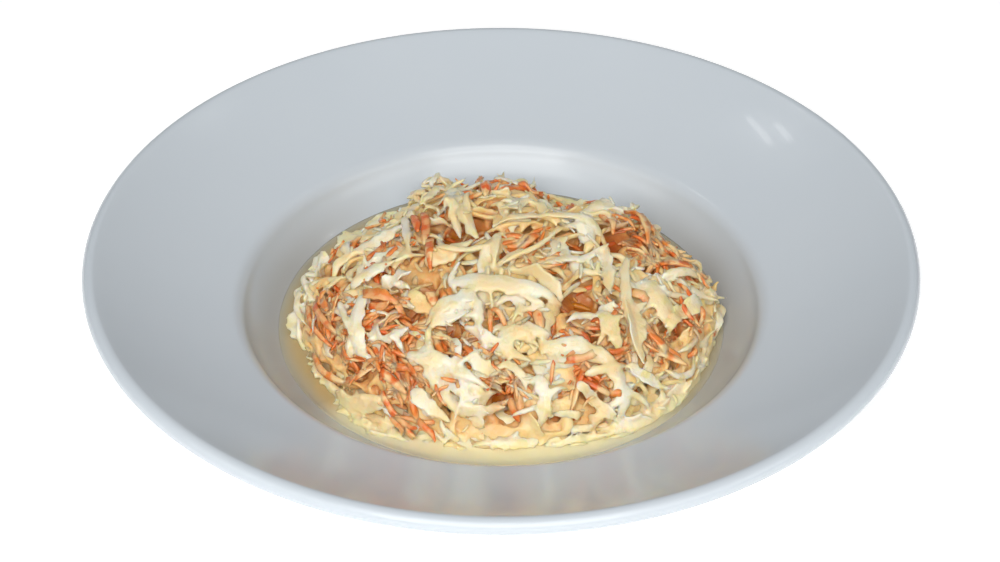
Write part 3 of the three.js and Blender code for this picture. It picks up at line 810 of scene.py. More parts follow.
def add_prongs(rng, batch, kind, layer, open_pits=True):
    """One prong for each blade of a batch: it starts on the blade, leans to either side, and ends in a
    point."""
    centre, along = batch[3]
    blade = np.arange(len(centre))
    station = rng.integers(2, centre.shape[1] - 2, len(blade))
    start, toward = centre[blade, station], along[blade, station]
    side = rng.choice([-1, 1], len(blade))
    heading = np.arctan2(toward[:, 1], toward[:, 0]) + side * rng.uniform(*FORK_ANGLE, len(blade))
    length, width, turn, _ = draw_sizes(rng, kind, len(blade))
    return lay(rng, start, heading, kind, layer, (length, width, turn, 0 * length), open_pits)


def joined(batches):
    """Several batches of strips as one: points end to end, corner numbers moved up to match."""
    starts = np.cumsum([0] + [len(batch[0]) for batch in batches])
    points = np.concatenate([batch[0] for batch in batches])
    tone = np.concatenate([batch[2] for batch in batches])
    by_corners = {}
    for batch, start in zip(batches, starts):
        for array in batch[1]:
            by_corners.setdefault(array.shape[1], []).append(array + start)
    return points, [np.concatenate(arrays) for arrays in by_corners.values()], tone


# %% [markdown]
# A kind of strip is a set of ranges: sizes in millimetres, turns in radians, and shares. A layer says
# how high its strips lie over the form, how deep their roots are tucked, and how many tips are free.

# %% Kinds of strips and layers
FLAKE = dict(
    length=(12, 27),
    width=(3.2, 7.5),
    thickness=(1.3, 2.0),
    bend=0.6,
    sway=1.2,
    lean=0.5,
    twist=1.1,
    wave=1.1,
    ragged=0.34,
    butt=0.5,
    point=0.12,
    stations=18,
    section=FLAT_SECTION,
)
PRONG = dict(FLAKE, length=(6, 13), width=(2.0, 3.6), ragged=0.1, butt=1.0, point=0.1, stations=8)
RIBBON = dict(
    FLAKE, length=(12, 30), width=(1.7, 3.4), bend=0.9, sway=1.6, twist=1.0, ragged=0.15, section=SLIM_SECTION
)
GRATED = dict(RIBBON, length=(8, 21), width=(1.4, 2.6), thickness=(1.2, 1.9), bend=0.5, sway=0.8)
CARROT_SHRED = dict(GRATED, wave=0.4, stations=10, butt=0.8, point=0.3)
CALM = dict(sway=0.25, lean=0.2, twist=0.5, wave=0.5)  # for strips that have to keep to their place

LOW = dict(top=(-5.4, -3.2), root=(1.0, 3.0), free=0.0)
DEEP = dict(top=(-5.0, -2.0), root=(1.0, 3.0), free=0.0)
MIDDLE = dict(top=(-3.8, -0.8), root=(1.5, 4.0), free=0.1)
UPPER = dict(top=(-2.8, 1.4), root=(1.5, 4.5), free=0.3)
TIPS = dict(top=(-1.8, 0.8), root=(0.0, 0.5), free=0.4)
RAISED_TIPS = dict(top=(1.4, 2.6), root=(0.0, 0.4), free=0.4)
AFLOAT = dict(top=(-1.4, -0.1), root=(0.0, 0.8), free=0.15)
SCATTER = 2.0  # mm that middles stray from the spiral


def scatter(rng, count, spare_carrot=0.0):
    """Middles on the spiral, each moved a little, and any heading; some are left out of the clumps."""
    middle = spiral_places(count, rng.uniform(0, 2 * math.pi)) + rng.normal(0, SCATTER, (count, 3))
    kept = rng.random(count) > spare_carrot * carrot_share(middle)
    return middle[kept], rng.uniform(0, 2 * math.pi, kept.sum())


# %% [markdown]
# ## Fusing
#
# Dressing bridges neighbouring shreds, so a coated heap has soft fillets and no open slits. A voxel
# remesh does the same: it wraps all the overlapping strips in one skin, and a light smoothing
# lets the skin run into the corners. The colour of each point then comes from the strips near it.

# %% Fuse the strips
PAINT_CELL = 1.0  # side of a cell of the colour grid, in mm
PAINT_MARGIN = 4
SHADE_FROM, SHADE_FULL = 2.5, 9.5  # mm below the form where the painted shade starts and is darkest
STAIN_FROM, STAIN_FULL = -2.0, 2.0


def fused(points, faces, voxel_mm, smooth_steps, keep):
    """Points and faces of the skin round overlapping closed pieces; keep is the share of triangles
    that stays after flat parts are thinned out."""
    loose = add_mesh("overlapping_strips", points, faces, bed_wet)
    wrap = loose.modifiers.new("wrap", "REMESH")
    wrap.mode = "VOXEL"
    wrap.voxel_size = voxel_mm * MM
    run = loose.modifiers.new("run", "SMOOTH")
    run.iterations = smooth_steps
    run.factor = 0.5
    thin = loose.modifiers.new("thin", "DECIMATE")
    thin.ratio = keep
    seen = loose.evaluated_get(bpy.context.evaluated_depsgraph_get())
    skin, triangles = mesh_arrays(seen.to_mesh())
    seen.to_mesh_clear()
    mesh = loose.data
    bpy.data.objects.remove(loose)
    bpy.data.meshes.remove(mesh)
    return skin.astype(float) / MM, [triangles]


def paint(points, values, targets):
    """Value at each target: the mean of the values of the points near it, from a grid of cells that
    is blurred along each axis."""
    low = points.min(0) - PAINT_MARGIN
    size = np.ceil((points.max(0) + PAINT_MARGIN - low) / PAINT_CELL).astype(int)
    total, weight = np.zeros(size), np.full(size, 1e-6)
    cell = tuple(((points - low) / PAINT_CELL).astype(int).T)
    np.add.at(total, cell, values)
    np.add.at(weight, cell, 1.0)
    for axis in (0, 1, 2):
        for grid in (total, weight):
            grid += 0.5 * (np.roll(grid, 1, axis) + np.roll(grid, -1, axis))
    at = tuple(np.clip(((targets - low) / PAINT_CELL).astype(int), 0, size - 1).T)
    return np.clip(total[at] / weight[at], 0, 1)


def add_slaw(name, batches, material, voxel_mm, smooth_steps, keep):
    """A fused piece of the heap from batches of strips, painted with tone, stain, and the depth below the
    form that sets its painted shade.
    """
    points, faces, tone = joined(batches)
    skin, skin_faces = fused(points, faces, voxel_mm, smooth_steps, keep)
    piece = add_mesh(
        name,
        skin,
        skin_faces,
        material,
        tone=paint(points, tone, skin),
        depth=depth_below(skin, SHADE_FROM, SHADE_FULL),
        stain=carrot_share(skin) * depth_below(skin, STAIN_FROM, STAIN_FULL),
    )
    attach(piece, "root")
    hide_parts("coleslaw")
    return piece


# %% [markdown]
# ## The bed
#
# Between the core and the top layer lies what one sees only in gaps: ribbons and flakes laid low,
# and carrot soaked into them. Its tone runs from cabbage, near 0, to carrot, at 1.

# %% The bed
rng = np.random.default_rng(11)
core_points, core_faces = core_shell()
low_ribbons = lay(rng, *scatter(rng, 420), RIBBON, LOW, open_pits=False)
mid_flakes = lay(rng, *scatter(rng, 360, 0.5), FLAKE, MIDDLE)
mid_ribbons = lay(rng, *scatter(rng, 380, 0.5), RIBBON, MIDDLE)
deep_carrots = lay(rng, *scatter(rng, 120), CARROT_SHRED, DEEP, open_pits=False)
bed = [
    (core_points, core_faces, 0.1 + 0.8 * carrot_share(core_points)),
    (*low_ribbons[:2], 0.4 * low_ribbons[2]),
    (*mid_flakes[:2], 0.25 * mid_flakes[2]),
    (*mid_ribbons[:2], 0.25 * mid_ribbons[2]),
    (*deep_carrots[:2], np.ones(len(deep_carrots[0]))),
]
slaw_bed = add_slaw("slaw_bed", bed, bed_wet, voxel_mm=0.65, smooth_steps=2, keep=0.4)

# %% [markdown]
# ## Cabbage on top
#
# The upper layer is what one sees. Some pieces have a place of their own, such as long ribbons that
# arch over their neighbours, or a forked flake; the rest are drawn.

# %% Flakes and ribbons with a place of their own
# x and y of the root, heading and turn in degrees, length, width and lift over the form.
PLACED_FLAKES = np.array(
    [
        (-45, -22, -100, 0, 27, 6.5, 2), (-49, -17, 40, -50, 18, 7, 0.8), (-16, -24, -10, -5, 37, 8, 1.6),
        (-10, -31, -125, -35, 19, 5.5, 1.6), (-8, -31, -85, 0, 17, 4, 1.2), (-1, -47, 35, -45, 17, 7, 1.2),
        (45, -17, -45, -5, 22, 8.5, 0.8), (64, -14, -135, 10, 22, 6, 0.8), (-23, -36, 10, -40, 14, 7, 1),
        (-10, -51, -60, 40, 13, 5.5, 1), (-24, -50, -80, 20, 24, 5, 1.4), (12, -56, -75, -25, 18, 5, 1.2),
        (24, -56, -50, 15, 21, 4.5, 1.2), (-15, -62, -40, 40, 17, 5, 0.8),
        (-38, -40, -10, 50, 10, 4.5, 1.2), (-54, -43, -40, 30, 24, 6.5, 0.4),
        (-17, 24, -80, 0, 22, 4.5, 0.8), (-27, 22, 80, -20, 19, 5, 1.2), (41, -47, -50, 60, 16, 4.5, 1),
        (-25, -46, -60, 5, 27, 7, 1.8), (-30, -47, -25, -10, 30, 4.5, 1.8),
        (13, -48, -5, -15, 28, 7.5, 1.4), (36, -49, -65, 0, 19, 6.5, 1.2),
        (-28, -56, -65, 10, 16, 5.5, 1.2), (40, -26, -80, 10, 25, 8, 1.6), (31, -33, -60, 0, 18, 6.5, 1.2),
        (-8, -30, 200, 20, 20, 6, 1.6),
    ],
    float,
)
PLACED_RIBBONS = np.array(
    [
        (-53, -20, -75, 0, 19, 2.6, 1.8), (-34, 18, -80, 0, 28, 3.6, 1.6),
        (-22, -3, -80, 145, 28, 2.8, 1.6), (-1, -2, -95, 0, 16, 3.4, 1.4), (0, -17, 25, 25, 26, 2.2, 2),
        (13, 9, 25, -95, 31, 4.5, 2.2), (-1, 5, -10, 55, 20, 4, 1.2), (-11, 27, -90, 15, 24, 2.6, 1.2),
        (41, -9, -100, 25, 35, 4, 2), (38, -34, -140, 35, 14, 3.2, 1.6), (52, -12, 25, 5, 24, 3.8, 1.2),
        (30, -35, -175, 40, 12, 3.6, 1.6), (26, -54, 15, 5, 16, 3.6, 2), (-21, -49, -40, -5, 21, 4, 2.2),
        (-16, -45, -30, -125, 11, 3.2, 1.2), (16, -64, 125, -165, 15, 2.4, 1.6),
        (37, -55, 5, -60, 15, 2.4, 1.6), (32, -62, 20, 25, 24, 3, 0.4), (66, -24, -130, -10, 17, 2.4, 0.6),
        (53, -43, -35, 120, 20, 2.6, 0.8), (-53, 5, 110, -10, 14, 4, 1.4), (-68, 6, -90, 10, 22, 3, 0.8),
        (0, -54, 0, -90, 13, 3.4, 1.6), (-49, -47, -45, 40, 18, 3.8, 0.8),
    ],
    float,
)


print("placed flakes:", len(PLACED_FLAKES), "placed ribbons:", len(PLACED_RIBBONS))


def placed(rng, table, kind, free=0.35, raised=0.6):
    """Strips from a table, laid where it says. Those that lift most go over their neighbours."""
    x, y, heading, turn, length, width, lift = table.T
    reach = np.hypot((x - HEART[0]) / HEAP_WIDTH, (y - HEART[1]) / HEAP_DEPTH)
    height = HEART[2] + HEAP_HEIGHT * (1 - np.minimum(1, reach) ** HEAP_FULLNESS) ** (1 / HEAP_FULLNESS)
    layer = dict(top=(lift + raised, lift + raised), root=(0.8, 2.0), free=free)
    start, kind = np.stack([x, y, height], axis=-1), dict(kind, **CALM)
    sizes = (length, width, np.radians(turn), 0 * length)
    return lay(rng, start, np.radians(heading), kind, layer, sizes, open_pits=False)


# %% [markdown]
# Along the crest some tips stand up against the bowl's far side, and round the foot a few pieces swam
# off into the dressing.

# %% Crest and swimmers
# The columns are those of the placed flakes.
CREST_SHREDS = np.array(
    [
        (-30, 43, 100, 20, 13, 3.2, 0.6), (-26, 46, 85, -20, 12, 3.4, 1), (-22, 45, 60, 20, 11, 3, 0.6),
        (-27, 42, 120, 30, 12, 4, 1.8), (-24, 40, 75, 10, 12, 3.4, 2.2), (-8, 44, 95, -10, 12, 3.4, 0.6),
        (-3, 46, 60, 20, 10, 3, 0.8), (6, 44, 110, 30, 12, 3.4, 0.8), (10, 46, 70, 20, 12, 3, 1),
        (40, 38, 100, -20, 12, 3.2, 0.8), (46, 36, 60, 10, 12, 3.6, 1.2), (53, 32, 40, 20, 12, 3.4, 0.6),
        (-44, 36, 120, -20, 12, 3.2, 0.6), (-58, 24, 150, 20, 12, 3, 0.6), (-66, 12, 150, 0, 12, 3, 0.8),
        (70, 6, 30, 30, 12, 3.2, 0.8), (68, -4, 10, 20, 12, 3, 0.8),
    ],
    float,
)
# Groups of swimmers: bearing and spread in degrees, reach and spread in mm from the bowl's axis, and
# how many.
SWIMMERS = np.array(
    [
        (230, 6, 72, 2, 4), (318, 12, 70, 2.5, 12), (345, 8, 72, 2, 3), (236, 4, 73, 2, 5),
        (130, 16, 71, 2.5, 12), (55, 16, 71, 2.5, 8),
    ],
    float,
)


print("shreds on the crest:", len(CREST_SHREDS), "groups of swimmers:", len(SWIMMERS))


def swim(rng, kind):
    """Pieces afloat round the heap's foot, each turned roughly along the shore."""
    group = np.repeat(np.arange(len(SWIMMERS)), SWIMMERS[:, 4].astype(int))
    bearing = np.radians(rng.normal(SWIMMERS[group, 0], SWIMMERS[group, 1]))
    middle = around(rng.normal(SWIMMERS[group, 2], SWIMMERS[group, 3]), bearing, POOL_LEVEL)
    along_shore = bearing + math.pi / 2 + rng.normal(0, 0.5, len(group))
    return lay(rng, middle, along_shore, kind, AFLOAT, open_pits=False)


# %% Top layer
hero_flakes = placed(rng, PLACED_FLAKES, FLAKE, raised=1.6)
hero_ribbons = placed(rng, PLACED_RIBBONS, RIBBON, raised=1.3)
hero_prongs = add_prongs(rng, hero_flakes, PRONG, RAISED_TIPS, open_pits=False)
top_flakes = lay(rng, *scatter(rng, 170, 0.9), FLAKE, UPPER)
top_prongs = add_prongs(rng, top_flakes, PRONG, TIPS)
top_ribbons = lay(rng, *scatter(rng, 220, 0.85), RIBBON, UPPER)
crest = placed(rng, CREST_SHREDS, RIBBON, free=1.0)
swimmers = [
    swim(rng, dict(FLAKE, length=(8, 17), wave=0.4, lean=0.15, twist=0.3)),
    swim(rng, dict(RIBBON, length=(8, 22), wave=0.4, lean=0.2, twist=0.3)),
]
top_layer = [top_flakes, top_prongs, top_ribbons, hero_flakes, hero_prongs, hero_ribbons, crest, *swimmers]
cabbage_upper = add_slaw("cabbage_upper", top_layer, cabbage_wet, voxel_mm=0.55, smooth_steps=4, keep=0.36)

# %% [markdown]
# ## Shavings
#
# A grater and a knife also leave crumbs and slivers a few millimetres long, which cling wherever
# there is dressing. Each is dropped: a ray runs from outside the heap towards its heart, and the
# sliver is laid flat on whatever it meets first.

# %% Drop slivers on the shreds
SLIVER = dict(length=(4.0, 11.0), width=(1.0, 2.2), thickness=(0.7, 1.2), stations=7)
CRUMB = dict(SLIVER, length=(1.5, 4.0), width=(0.8, 1.6))
DROP_FROM = 1.5  # rays start this many times as far from the heart as the form
HIGHEST = 2.0  # mm over the form; above it a sliver would sit on a free tip
REST_HEIGHT = 0.35  # of a sliver's middle line over what it lies on
BOW_MIDDLE = 0.08  # about the mean of the squared share, so a bow doesn't shift its sliver
SLENDER = 0.6  # share of the width that is gone at the very ends


def surface_of(pieces):
    """A search tree over the triangles of pieces, in millimetres, that rays can be cast at."""
    points, triangles, start = [], [], 0
    for piece in pieces:
        own_points, own_triangles = mesh_arrays(piece.data)
        points.append(own_points / MM)
        triangles.append(own_triangles + start)
        start += len(own_points)
    return BVHTree.FromPolygons(np.concatenate(points).tolist(), np.concatenate(triangles).tolist())


def drop_slivers(rng, surface, middle, heading, size):
    """Short bent strips on the surface, below each middle: straight lines with a bow that grows with
    the square of the distance from the middle."""
    count, stations = len(middle), size["stations"]
    hits = [surface.ray_cast(Vector(m), Vector(HEART - m)) for m in HEART + DROP_FROM * (middle - HEART)]
    found = np.array([hit[0] is not None for hit in hits])
    spot = np.array([hit[0] if hit[0] is not None else HEART for hit in hits])
    found &= depth_below(spot, -HIGHEST - 0.2, -HIGHEST) > 0
    facing = np.array([hit[1] if hit[0] is not None else (0, 0, 1) for hit in hits])
    normal = unit(facing + heap_normal(spot))
    along = laid_flat(around(1.0, heading, 0.0), normal)
    across = np.cross(normal, along)
    length = rng.uniform(*size["length"], count)[:, None]
    width = rng.uniform(*size["width"], count)[:, None]
    share = np.linspace(-0.5, 0.5, stations)
    bow = rng.normal(0, 0.5, count)[:, None]
    straight, sideways = share * length, bow * length * (share**2 - BOW_MIDDLE)
    centre = spot[:, None] + along[:, None] * straight[..., None] + across[:, None] * sideways[..., None]
    normals = np.broadcast_to(normal[:, None], centre.shape)
    alongs = unit(along[:, None] + across[:, None] * (2 * bow * share)[..., None])
    half = width / 2 * (1 - (2 * np.abs(share)) ** 3 * SLENDER)
    level = np.zeros((count, stations))
    lift = level + REST_HEIGHT + rng.normal(0, 0.5, (count, 1)) * share * length * 0.3
    thickness = rng.uniform(*size["thickness"], count)[:, None] + level
    roll = rng.normal(0, 0.3, (count, 1)) + level
    values = (centre, normals, alongs, lift, half, half, thickness, roll, level)
    points, faces = strip_mesh(*(v[found] for v in values), SLIM_SECTION)
    tone = np.repeat(rng.uniform(0.2, 0.6, found.sum()), stations * len(SLIM_SECTION))
    return points.reshape(-1, 3), faces, tone


# %% Cabbage slivers
INLAND = 58  # mm from the bowl's axis within which slivers fill the gaps
gaps = surface_of([slaw_bed])
everywhere = surface_of([slaw_bed, cabbage_upper])
middle, heading = scatter(rng, 560, 0.9)
inland = np.hypot(middle[:, 0], middle[:, 1]) < INLAND
in_gaps = drop_slivers(rng, gaps, middle[inland], heading[inland], SLIVER)
crumbs = drop_slivers(rng, everywhere, *scatter(rng, 130, 0.5), CRUMB)
points, faces, tone = joined([in_gaps, crumbs])
shade, stain = depth_below(points, SHADE_FROM, SHADE_FULL), carrot_share(points)
slivers = add_mesh("cabbage_slivers", points, faces, cabbage_wet, tone=tone, depth=shade, stain=stain)
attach(slivers, "root")
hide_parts("coleslaw")

# %% [markdown]
# ## Carrot
#
# A coarse grater leaves shreds about two millimetres thick, blunt at the root and thin at the tip.
# They cling in bunches that lie roughly one way, so most are drawn round a clump's middle with a
# shared heading, and the rest are strewn all over.

# %% Carrot shreds with a place of their own
# x and y of the root, heading and turn in degrees, length, width and lift over the form.
PLACED_CARROTS = np.array(
    [
        (-26, 17, -80, -15, 20, 3.2, 1.4), (-24, 2, -85, -5, 17, 3.2, 1.4), (-30, 18, -80, 0, 14, 3, 0.8),
        (-5, 40, -90, 0, 16, 3.8, 2), (6, 43, 0, 0, 8, 3.4, 2), (1, -8, 20, 25, 15, 4, 1.2),
        (2, -5, 15, 20, 12, 3.2, 0.8), (35, 22, -85, 0, 18, 3, 1.2), (43, 25, -85, 10, 24, 3, 1.4),
        (50, 24, -65, 0, 24, 3.2, 1.2), (45, 11, 15, 0, 9, 3, 1.4), (52, -6, 20, -5, 18, 2.6, 1.6),
        (63, -15, -40, 0, 10, 2.8, 1.2), (42, -23, -25, 0, 9, 3.2, 1.6), (46, -33, -55, 40, 17, 3.8, 1.8),
        (50, -40, -20, 0, 10, 2.6, 1.2), (53, -37, -30, 0, 11, 2.4, 1.2), (18, -50, 10, 30, 13, 2.6, 1.6),
        (20, -51, 0, 45, 15, 2.8, 1.6), (34, -56, 5, 0, 7, 3.2, 2), (2, -61, -75, 0, 10, 3.4, 1),
        (5, -58, -85, 0, 11, 3.2, 1.4), (-45, -22, -15, -20, 15, 3.8, 1.6),
        (-43, -26, -25, 0, 10, 3.6, 1.2), (-23, -26, -75, 0, 8, 3.2, 0.8), (-18, -26, -75, 0, 8, 3.2, 0.8),
        (-66, -7, -70, 5, 27, 2.4, 1), (-63, -11, -65, 5, 24, 2.4, 1.2), (-60, -12, -65, 0, 12, 2.4, 1.2),
        (-63, -28, -45, 5, 21, 3, 0.8), (-52, -36, -60, -40, 14, 3, 1), (-39, -48, -55, 0, 13, 3, 1.4),
        (-37, -56, -95, 0, 11, 2.4, 1), (-29, -56, -100, 0, 13, 2.4, 1.2), (11, -35, -80, 0, 11, 3.6, 0.8),
        (-3, -35, -40, -40, 10, 1.8, 1), (-4, -35, -80, -20, 13, 1.6, 1), (-38, -53, -95, 10, 12, 2.8, 1.8),
        (-35, -57, -85, 0, 11, 2.6, 2), (-31, -60, -95, -10, 10, 2.6, 1.8), (-27, -61, -80, 0, 9, 2.4, 1.4),
        (-16, -52, -80, 0, 9, 3, 1.8), (-15, -44, -90, 10, 11, 3, 1.6), (-19, -26, -80, 0, 10, 3, 1.4),
    ],
    float,
)

print("placed carrot shreds:", len(PLACED_CARROTS))

# %% Carrot shreds
CLUMP_HEIGHT = 34.0
CLUMP_GRAIN = 0.45  # radians that the shreds of a clump stray from its heading
SUNK = dict(top=(-4.8, -2.6), root=(0.5, 2.0), free=0.0)
CLUMPED = dict(top=(-3.0, 0.9), root=(1.0, 4.0), free=0.15)
STREWN = dict(top=(-2.8, 0.2), root=(1.0, 4.0), free=0.2)

clump = np.repeat(np.arange(len(CLUMPS)), CLUMPS[:, 4].astype(int))
bearing = rng.uniform(0, 2 * math.pi, len(clump))
clumped = around(CLUMPS[clump, 2] * np.sqrt(rng.random(len(clump))), bearing, CLUMP_HEIGHT)
clumped[:, :2] += CLUMPS[clump, :2]
grain = np.radians(CLUMPS[clump, 3]) + rng.normal(0, CLUMP_GRAIN, len(clump))
batches = [
    lay(rng, *scatter(rng, 150), CARROT_SHRED, SUNK, open_pits=False),
    lay(rng, clumped, grain, CARROT_SHRED, CLUMPED),
    lay(rng, *scatter(rng, 60), CARROT_SHRED, STREWN),
    placed(rng, PLACED_CARROTS, CARROT_SHRED),
]
near_clump = clumped + rng.normal(0, 3.0, clumped.shape)
for surface in (everywhere, gaps):
    any_way = rng.uniform(0, 2 * math.pi, len(near_clump))
    batches.append(drop_slivers(rng, surface, near_clump, any_way, SLIVER))
points, faces, tone = joined(batches)
shade = depth_below(points, SHADE_FROM, SHADE_FULL)
carrots = add_mesh("carrot_shreds", points, faces, carrot_wet, tone=tone, depth=shade)
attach(carrots, "root")
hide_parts("coleslaw")

# %% [markdown]
# ## The dressing
#
# Thin mayonnaise dressing runs out of the slaw and stands in the well. The eye sees a pale cream with
# a soft gloss, and since light gets a few millimetres in, every shadow on it is softened. Away from the
# front it turns to a darker greyish yellow: partly a thin film with the porcelain showing through,
# partly painted shade.

# %% Dressing material
RUN = 9.0 * MM  # width of the runs in the cream
dressing_wet, tree, shader = new_material(
    "mayonnaise_dressing_thinned",
    Roughness=0.2,
    IOR=1.42,
    Subsurface_Weight=0.7,
    Subsurface_Scale=3.0 * MM,
    Subsurface_Radius=(1.0, 0.8, 0.5),
    Coat_Weight=0.4,
    Coat_Roughness=0.06,
)
place = add_node(tree, "ShaderNodeTexCoord").outputs["Object"]
runs = add_node(tree, "ShaderNodeTexNoise", {"Vector": place, "Scale": 1 / RUN, "Detail": 3.0})
film, shore = (
    add_node(tree, "ShaderNodeAttribute", attribute_name=key).outputs["Fac"] for key in ("film", "shore")
)
cream, thin = (
    add_node(tree, "ShaderNodeMix", {"Factor": factor, "A": first, "B": second}, data_type="RGBA")
    for factor, first, second in ((runs, "#f8e5b0", "#fdf0cc"), (shore, "#bda676", "#b2a994"))
)
# Painted shade: away from the front the pool darkens to a greyish yellow, partly a thin film over the
# porcelain.
colour = add_node(tree, "ShaderNodeMix", {"Factor": film, "A": cream, "B": thin}, data_type="RGBA")
swirl = add_node(tree, "ShaderNodeBump", {"Height": runs, "Strength": 0.25, "Distance": 0.6 * MM})
connect(tree, shader, {"Base Color": colour, "Normal": swirl})

# %% [markdown]
# The pool is a closed ring: an underside just clear of the porcelain, an edge that climbs a little
# where the dressing wets it, a level top, and an inner part that creeps up the heap's foot, so that
# no straight waterline shows between the two.

# %% Outline of the pool
WALL_GAP = 0.25
EDGE_CLIMB, CLIMB_WIDTH = 0.3, 0.8
INNER_REACH = 49.0  # the ring's inner radius, hidden under the heap
CREEP_HEIGHT, CREEP_REACH = 6.0, 9.0  # how high and how far in the dressing creeps up the heap's foot
FOOT_SEARCH = np.linspace(45, 80, 141)  # radii tried for the heap's foot
FOOT_MARGIN = 1.5  # what is added to the one that is found
SHORE_STEPS = np.array([0.55, 0.2, 0, -0.3, -0.7, -1.2])  # close steps over the edge that climbs


def heap_foot(angle):
    """Distance from the bowl's axis to the heap's form at the pool's level, plus a ragged edge that
    is a sum of waves round the bowl."""
    ray = around(FOOT_SEARCH, angle[:, None], POOL_LEVEL) - HEART
    inside = np.linalg.norm(ray, axis=-1) < heap_radius(unit(ray))
    ragged = 0.9 * np.sin(7 * angle + 1) + 0.7 * np.sin(13 * angle) + 0.5 * np.sin(29 * angle + 2)
    return (FOOT_SEARCH * inside).max(1) + FOOT_MARGIN + ragged


shore_turn = math.acos(1 - (POOL_LEVEL - FLOOR_HEIGHT) / WELL_RISE)
under = well_side(np.linspace(0.04, shore_turn, 14)) + [-WALL_GAP / 2, WALL_GAP]
edge = well_side(shore_turn)[0]
under[-1] = (edge + 0.5, POOL_LEVEL - 0.1)
surface_reach = np.concatenate([edge + SHORE_STEPS, np.linspace(edge - 2, INNER_REACH, 24)])
climb = EDGE_CLIMB * np.exp(-np.maximum(0, edge - surface_reach) / CLIMB_WIDTH)
loop = np.concatenate([under, np.stack([surface_reach, POOL_LEVEL + climb], axis=-1)])
print("the pool meets the porcelain at a radius of mm:", round(float(edge), 1))

# %% Pool mesh
POOL_TURNS = 240
SHORE_WIDTH = 5.0  # over which a film fades out to bare porcelain
FILM_AND_SHADE_SWAY = 0.08  # radians that the end of the thin, shaded film wanders to and fro
FILM_AND_SHADE_FROM, FILM_AND_SHADE_FULL = math.radians(30), math.radians(54)  # bearings from the front where the pool's colour turns to the thin, shaded film

angle = full_turn(POOL_TURNS)
points = around(loop[:, :1], angle, loop[:, 1:])
inwards = heap_foot(angle) - surface_reach[:, None]
points[len(under) :, :, 2] += CREEP_HEIGHT * np.clip(inwards / CREEP_REACH, 0, 1) ** 2
# Away from the front the pool's colour turns to a thin film: partly porcelain showing through,
# partly painted shade.
from_front = np.abs((angle - 1.5 * math.pi + math.pi) % (2 * math.pi) - math.pi)
film_and_shade_share = np.clip((from_front + FILM_AND_SHADE_SWAY * np.sin(9 * angle) - FILM_AND_SHADE_FROM) / (FILM_AND_SHADE_FULL - FILM_AND_SHADE_FROM), 0, 1)
pool = add_mesh(
    "dressing_pool",
    points.reshape(-1, 3),
    [grid_faces(len(loop), POOL_TURNS, close_rows=True)],
    dressing_wet,
    film=np.tile(film_and_shade_share, len(loop)),
    shore=np.repeat(np.clip(1 - (edge - loop[:, 0]) / SHORE_WIDTH, 0, 1), POOL_TURNS),
)
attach(pool, "root")
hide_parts("dressing")

# %% [markdown]
# ## Stage
#
# A plain floor like white paper, which glows a little so that it stays white round the bowl's shadow,
# and an even pale sky.

# %% Floor and sky
HALF_FLOOR = 3.0
floor_mesh = bpy.data.meshes.new("floor")
floor_corners = [(x * HALF_FLOOR, y * HALF_FLOOR, 0) for x, y in ((-1, -1), (1, -1), (1, 1), (-1, 1))]
floor_mesh.from_pydata(floor_corners, [], [(0, 1, 2, 3)])
floor = bpy.data.objects.new("floor", floor_mesh)
bpy.context.scene.collection.objects.link(floor)
paper, tree, shader = new_material(
    "white_paper_backdrop",
    Base_Color="#f7f7f7",
    Roughness=0.9,
    Emission_Color="#ffffff",
    Emission_Strength=0.35,
)
floor_mesh.materials.append(paper)

world = bpy.data.worlds.new("pale_room")
bpy.context.scene.world = world
world.use_nodes = True
sky = world.node_tree.nodes["Background"]
connect(world.node_tree, sky, {"Color": (0.95, 0.975, 1.0, 1.0), "Strength": 0.22})
print("floor side in m:", 2 * HALF_FLOOR)

# %% [markdown]
# ## Light
#
# Two softboxes do the lighting: a strong one on the viewer's side and a weak one behind. They stay
# out of the gloss, where their edges would show. What the glaze mirrors is lit apart, by wide
# reflectors that show only in the gloss: they give the near rim its pale sheen. Two narrow window
# panes and a tiny lamp are mirrored high on the rim, as streaks and a glint.

# %% Lamps
BOWL_MIDDLE = (0, 0, 0.03)
LAMP_WHITE = (1.0, 0.995, 0.985)
REFLECTOR_DISTANCE = 1.45


def area_light(name, place, width, height, power, roll=0.0):
    """A rectangular soft lamp that faces the bowl, turned by roll (degrees) about its own line of
    sight."""
    data = bpy.data.lights.new(name, "AREA")
    data.shape = "RECTANGLE"
    data.size = width
    data.size_y = height
    data.energy = power
    data.color = LAMP_WHITE
    lamp = bpy.data.objects.new(name, data)
    bpy.context.scene.collection.objects.link(lamp)
    lamp.location = place
    lamp.rotation_mode = "QUATERNION"
    facing = (Vector(BOWL_MIDDLE) - Vector(place)).to_track_quat("-Z", "Y")
    lamp.rotation_quaternion = facing @ Quaternion((0, 0, 1), math.radians(roll))
    return lamp


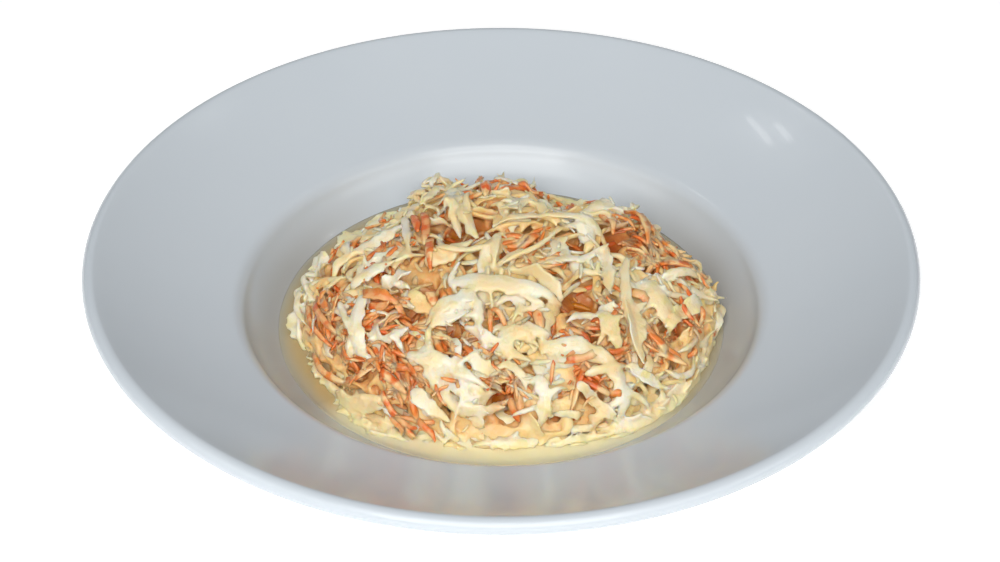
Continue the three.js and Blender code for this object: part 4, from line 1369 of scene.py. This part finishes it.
softboxes = [
    area_light("front_softbox", (-0.1, -1.12, 1.02), 1.0, 0.7, 21.5),
    area_light("back_softbox", (0.0, 0.9, 1.23), 0.8, 0.8, 2.8),
]
for softbox in softboxes:
    softbox.visible_glossy = False
mirrored = []
for bearing, power in ((-50, 6.0), (0, 14.0), (50, 6.0)):
    turn = math.radians(bearing)
    place = (REFLECTOR_DISTANCE * math.sin(turn), -REFLECTOR_DISTANCE * math.cos(turn), 0.85)
    mirrored.append(area_light(f"reflector_{bearing}", place, 1.6, 0.9, power))
mirrored.append(area_light("high_reflector", (0.0, -0.8, 1.4), 1.5, 0.65, 8.0))
area_light("glint_lamp", (0.8, 0.59, 1.28), 0.02, 0.02, 0.2)
mirrored.append(area_light("inner_pane", (-0.59, 0.61, 1.26), 0.022, 0.17, 0.136, roll=-42))
mirrored.append(area_light("outer_pane", (-0.645, 0.65, 1.21), 0.022, 0.1, 0.08, roll=-42))
for lamp in mirrored:
    lamp.visible_diffuse = False
print("lamps:", len(softboxes) + len(mirrored) + 1)

# %% [markdown]
# ## Camera
#
# It looks down at the bowl from the front, from so far that the far rim is hardly smaller than the
# near one. Its target is the middle of the bowl at about half its height.

# %% Camera
CAMERA_DISTANCE = 0.7
CAMERA_ELEVATION = math.radians(37.236)
CAMERA_TARGET = (-0.000356, 0.0, 0.030843)
camera_data = bpy.data.cameras.new("camera")
camera_data.sensor_width = 36.0
camera_data.lens = 73.385
camera_data.clip_start = 0.01
camera = bpy.data.objects.new("camera", camera_data)
bpy.context.scene.collection.objects.link(camera)
camera.location = (
    CAMERA_TARGET[0],
    CAMERA_TARGET[1] - CAMERA_DISTANCE * math.cos(CAMERA_ELEVATION),
    CAMERA_TARGET[2] + CAMERA_DISTANCE * math.sin(CAMERA_ELEVATION),
)
camera.rotation_euler = (math.pi / 2 - CAMERA_ELEVATION, 0, 0)
bpy.context.scene.camera = camera
bpy.context.scene.view_settings.view_transform = "Standard"
print("camera at m:", [round(c, 3) for c in camera.location])
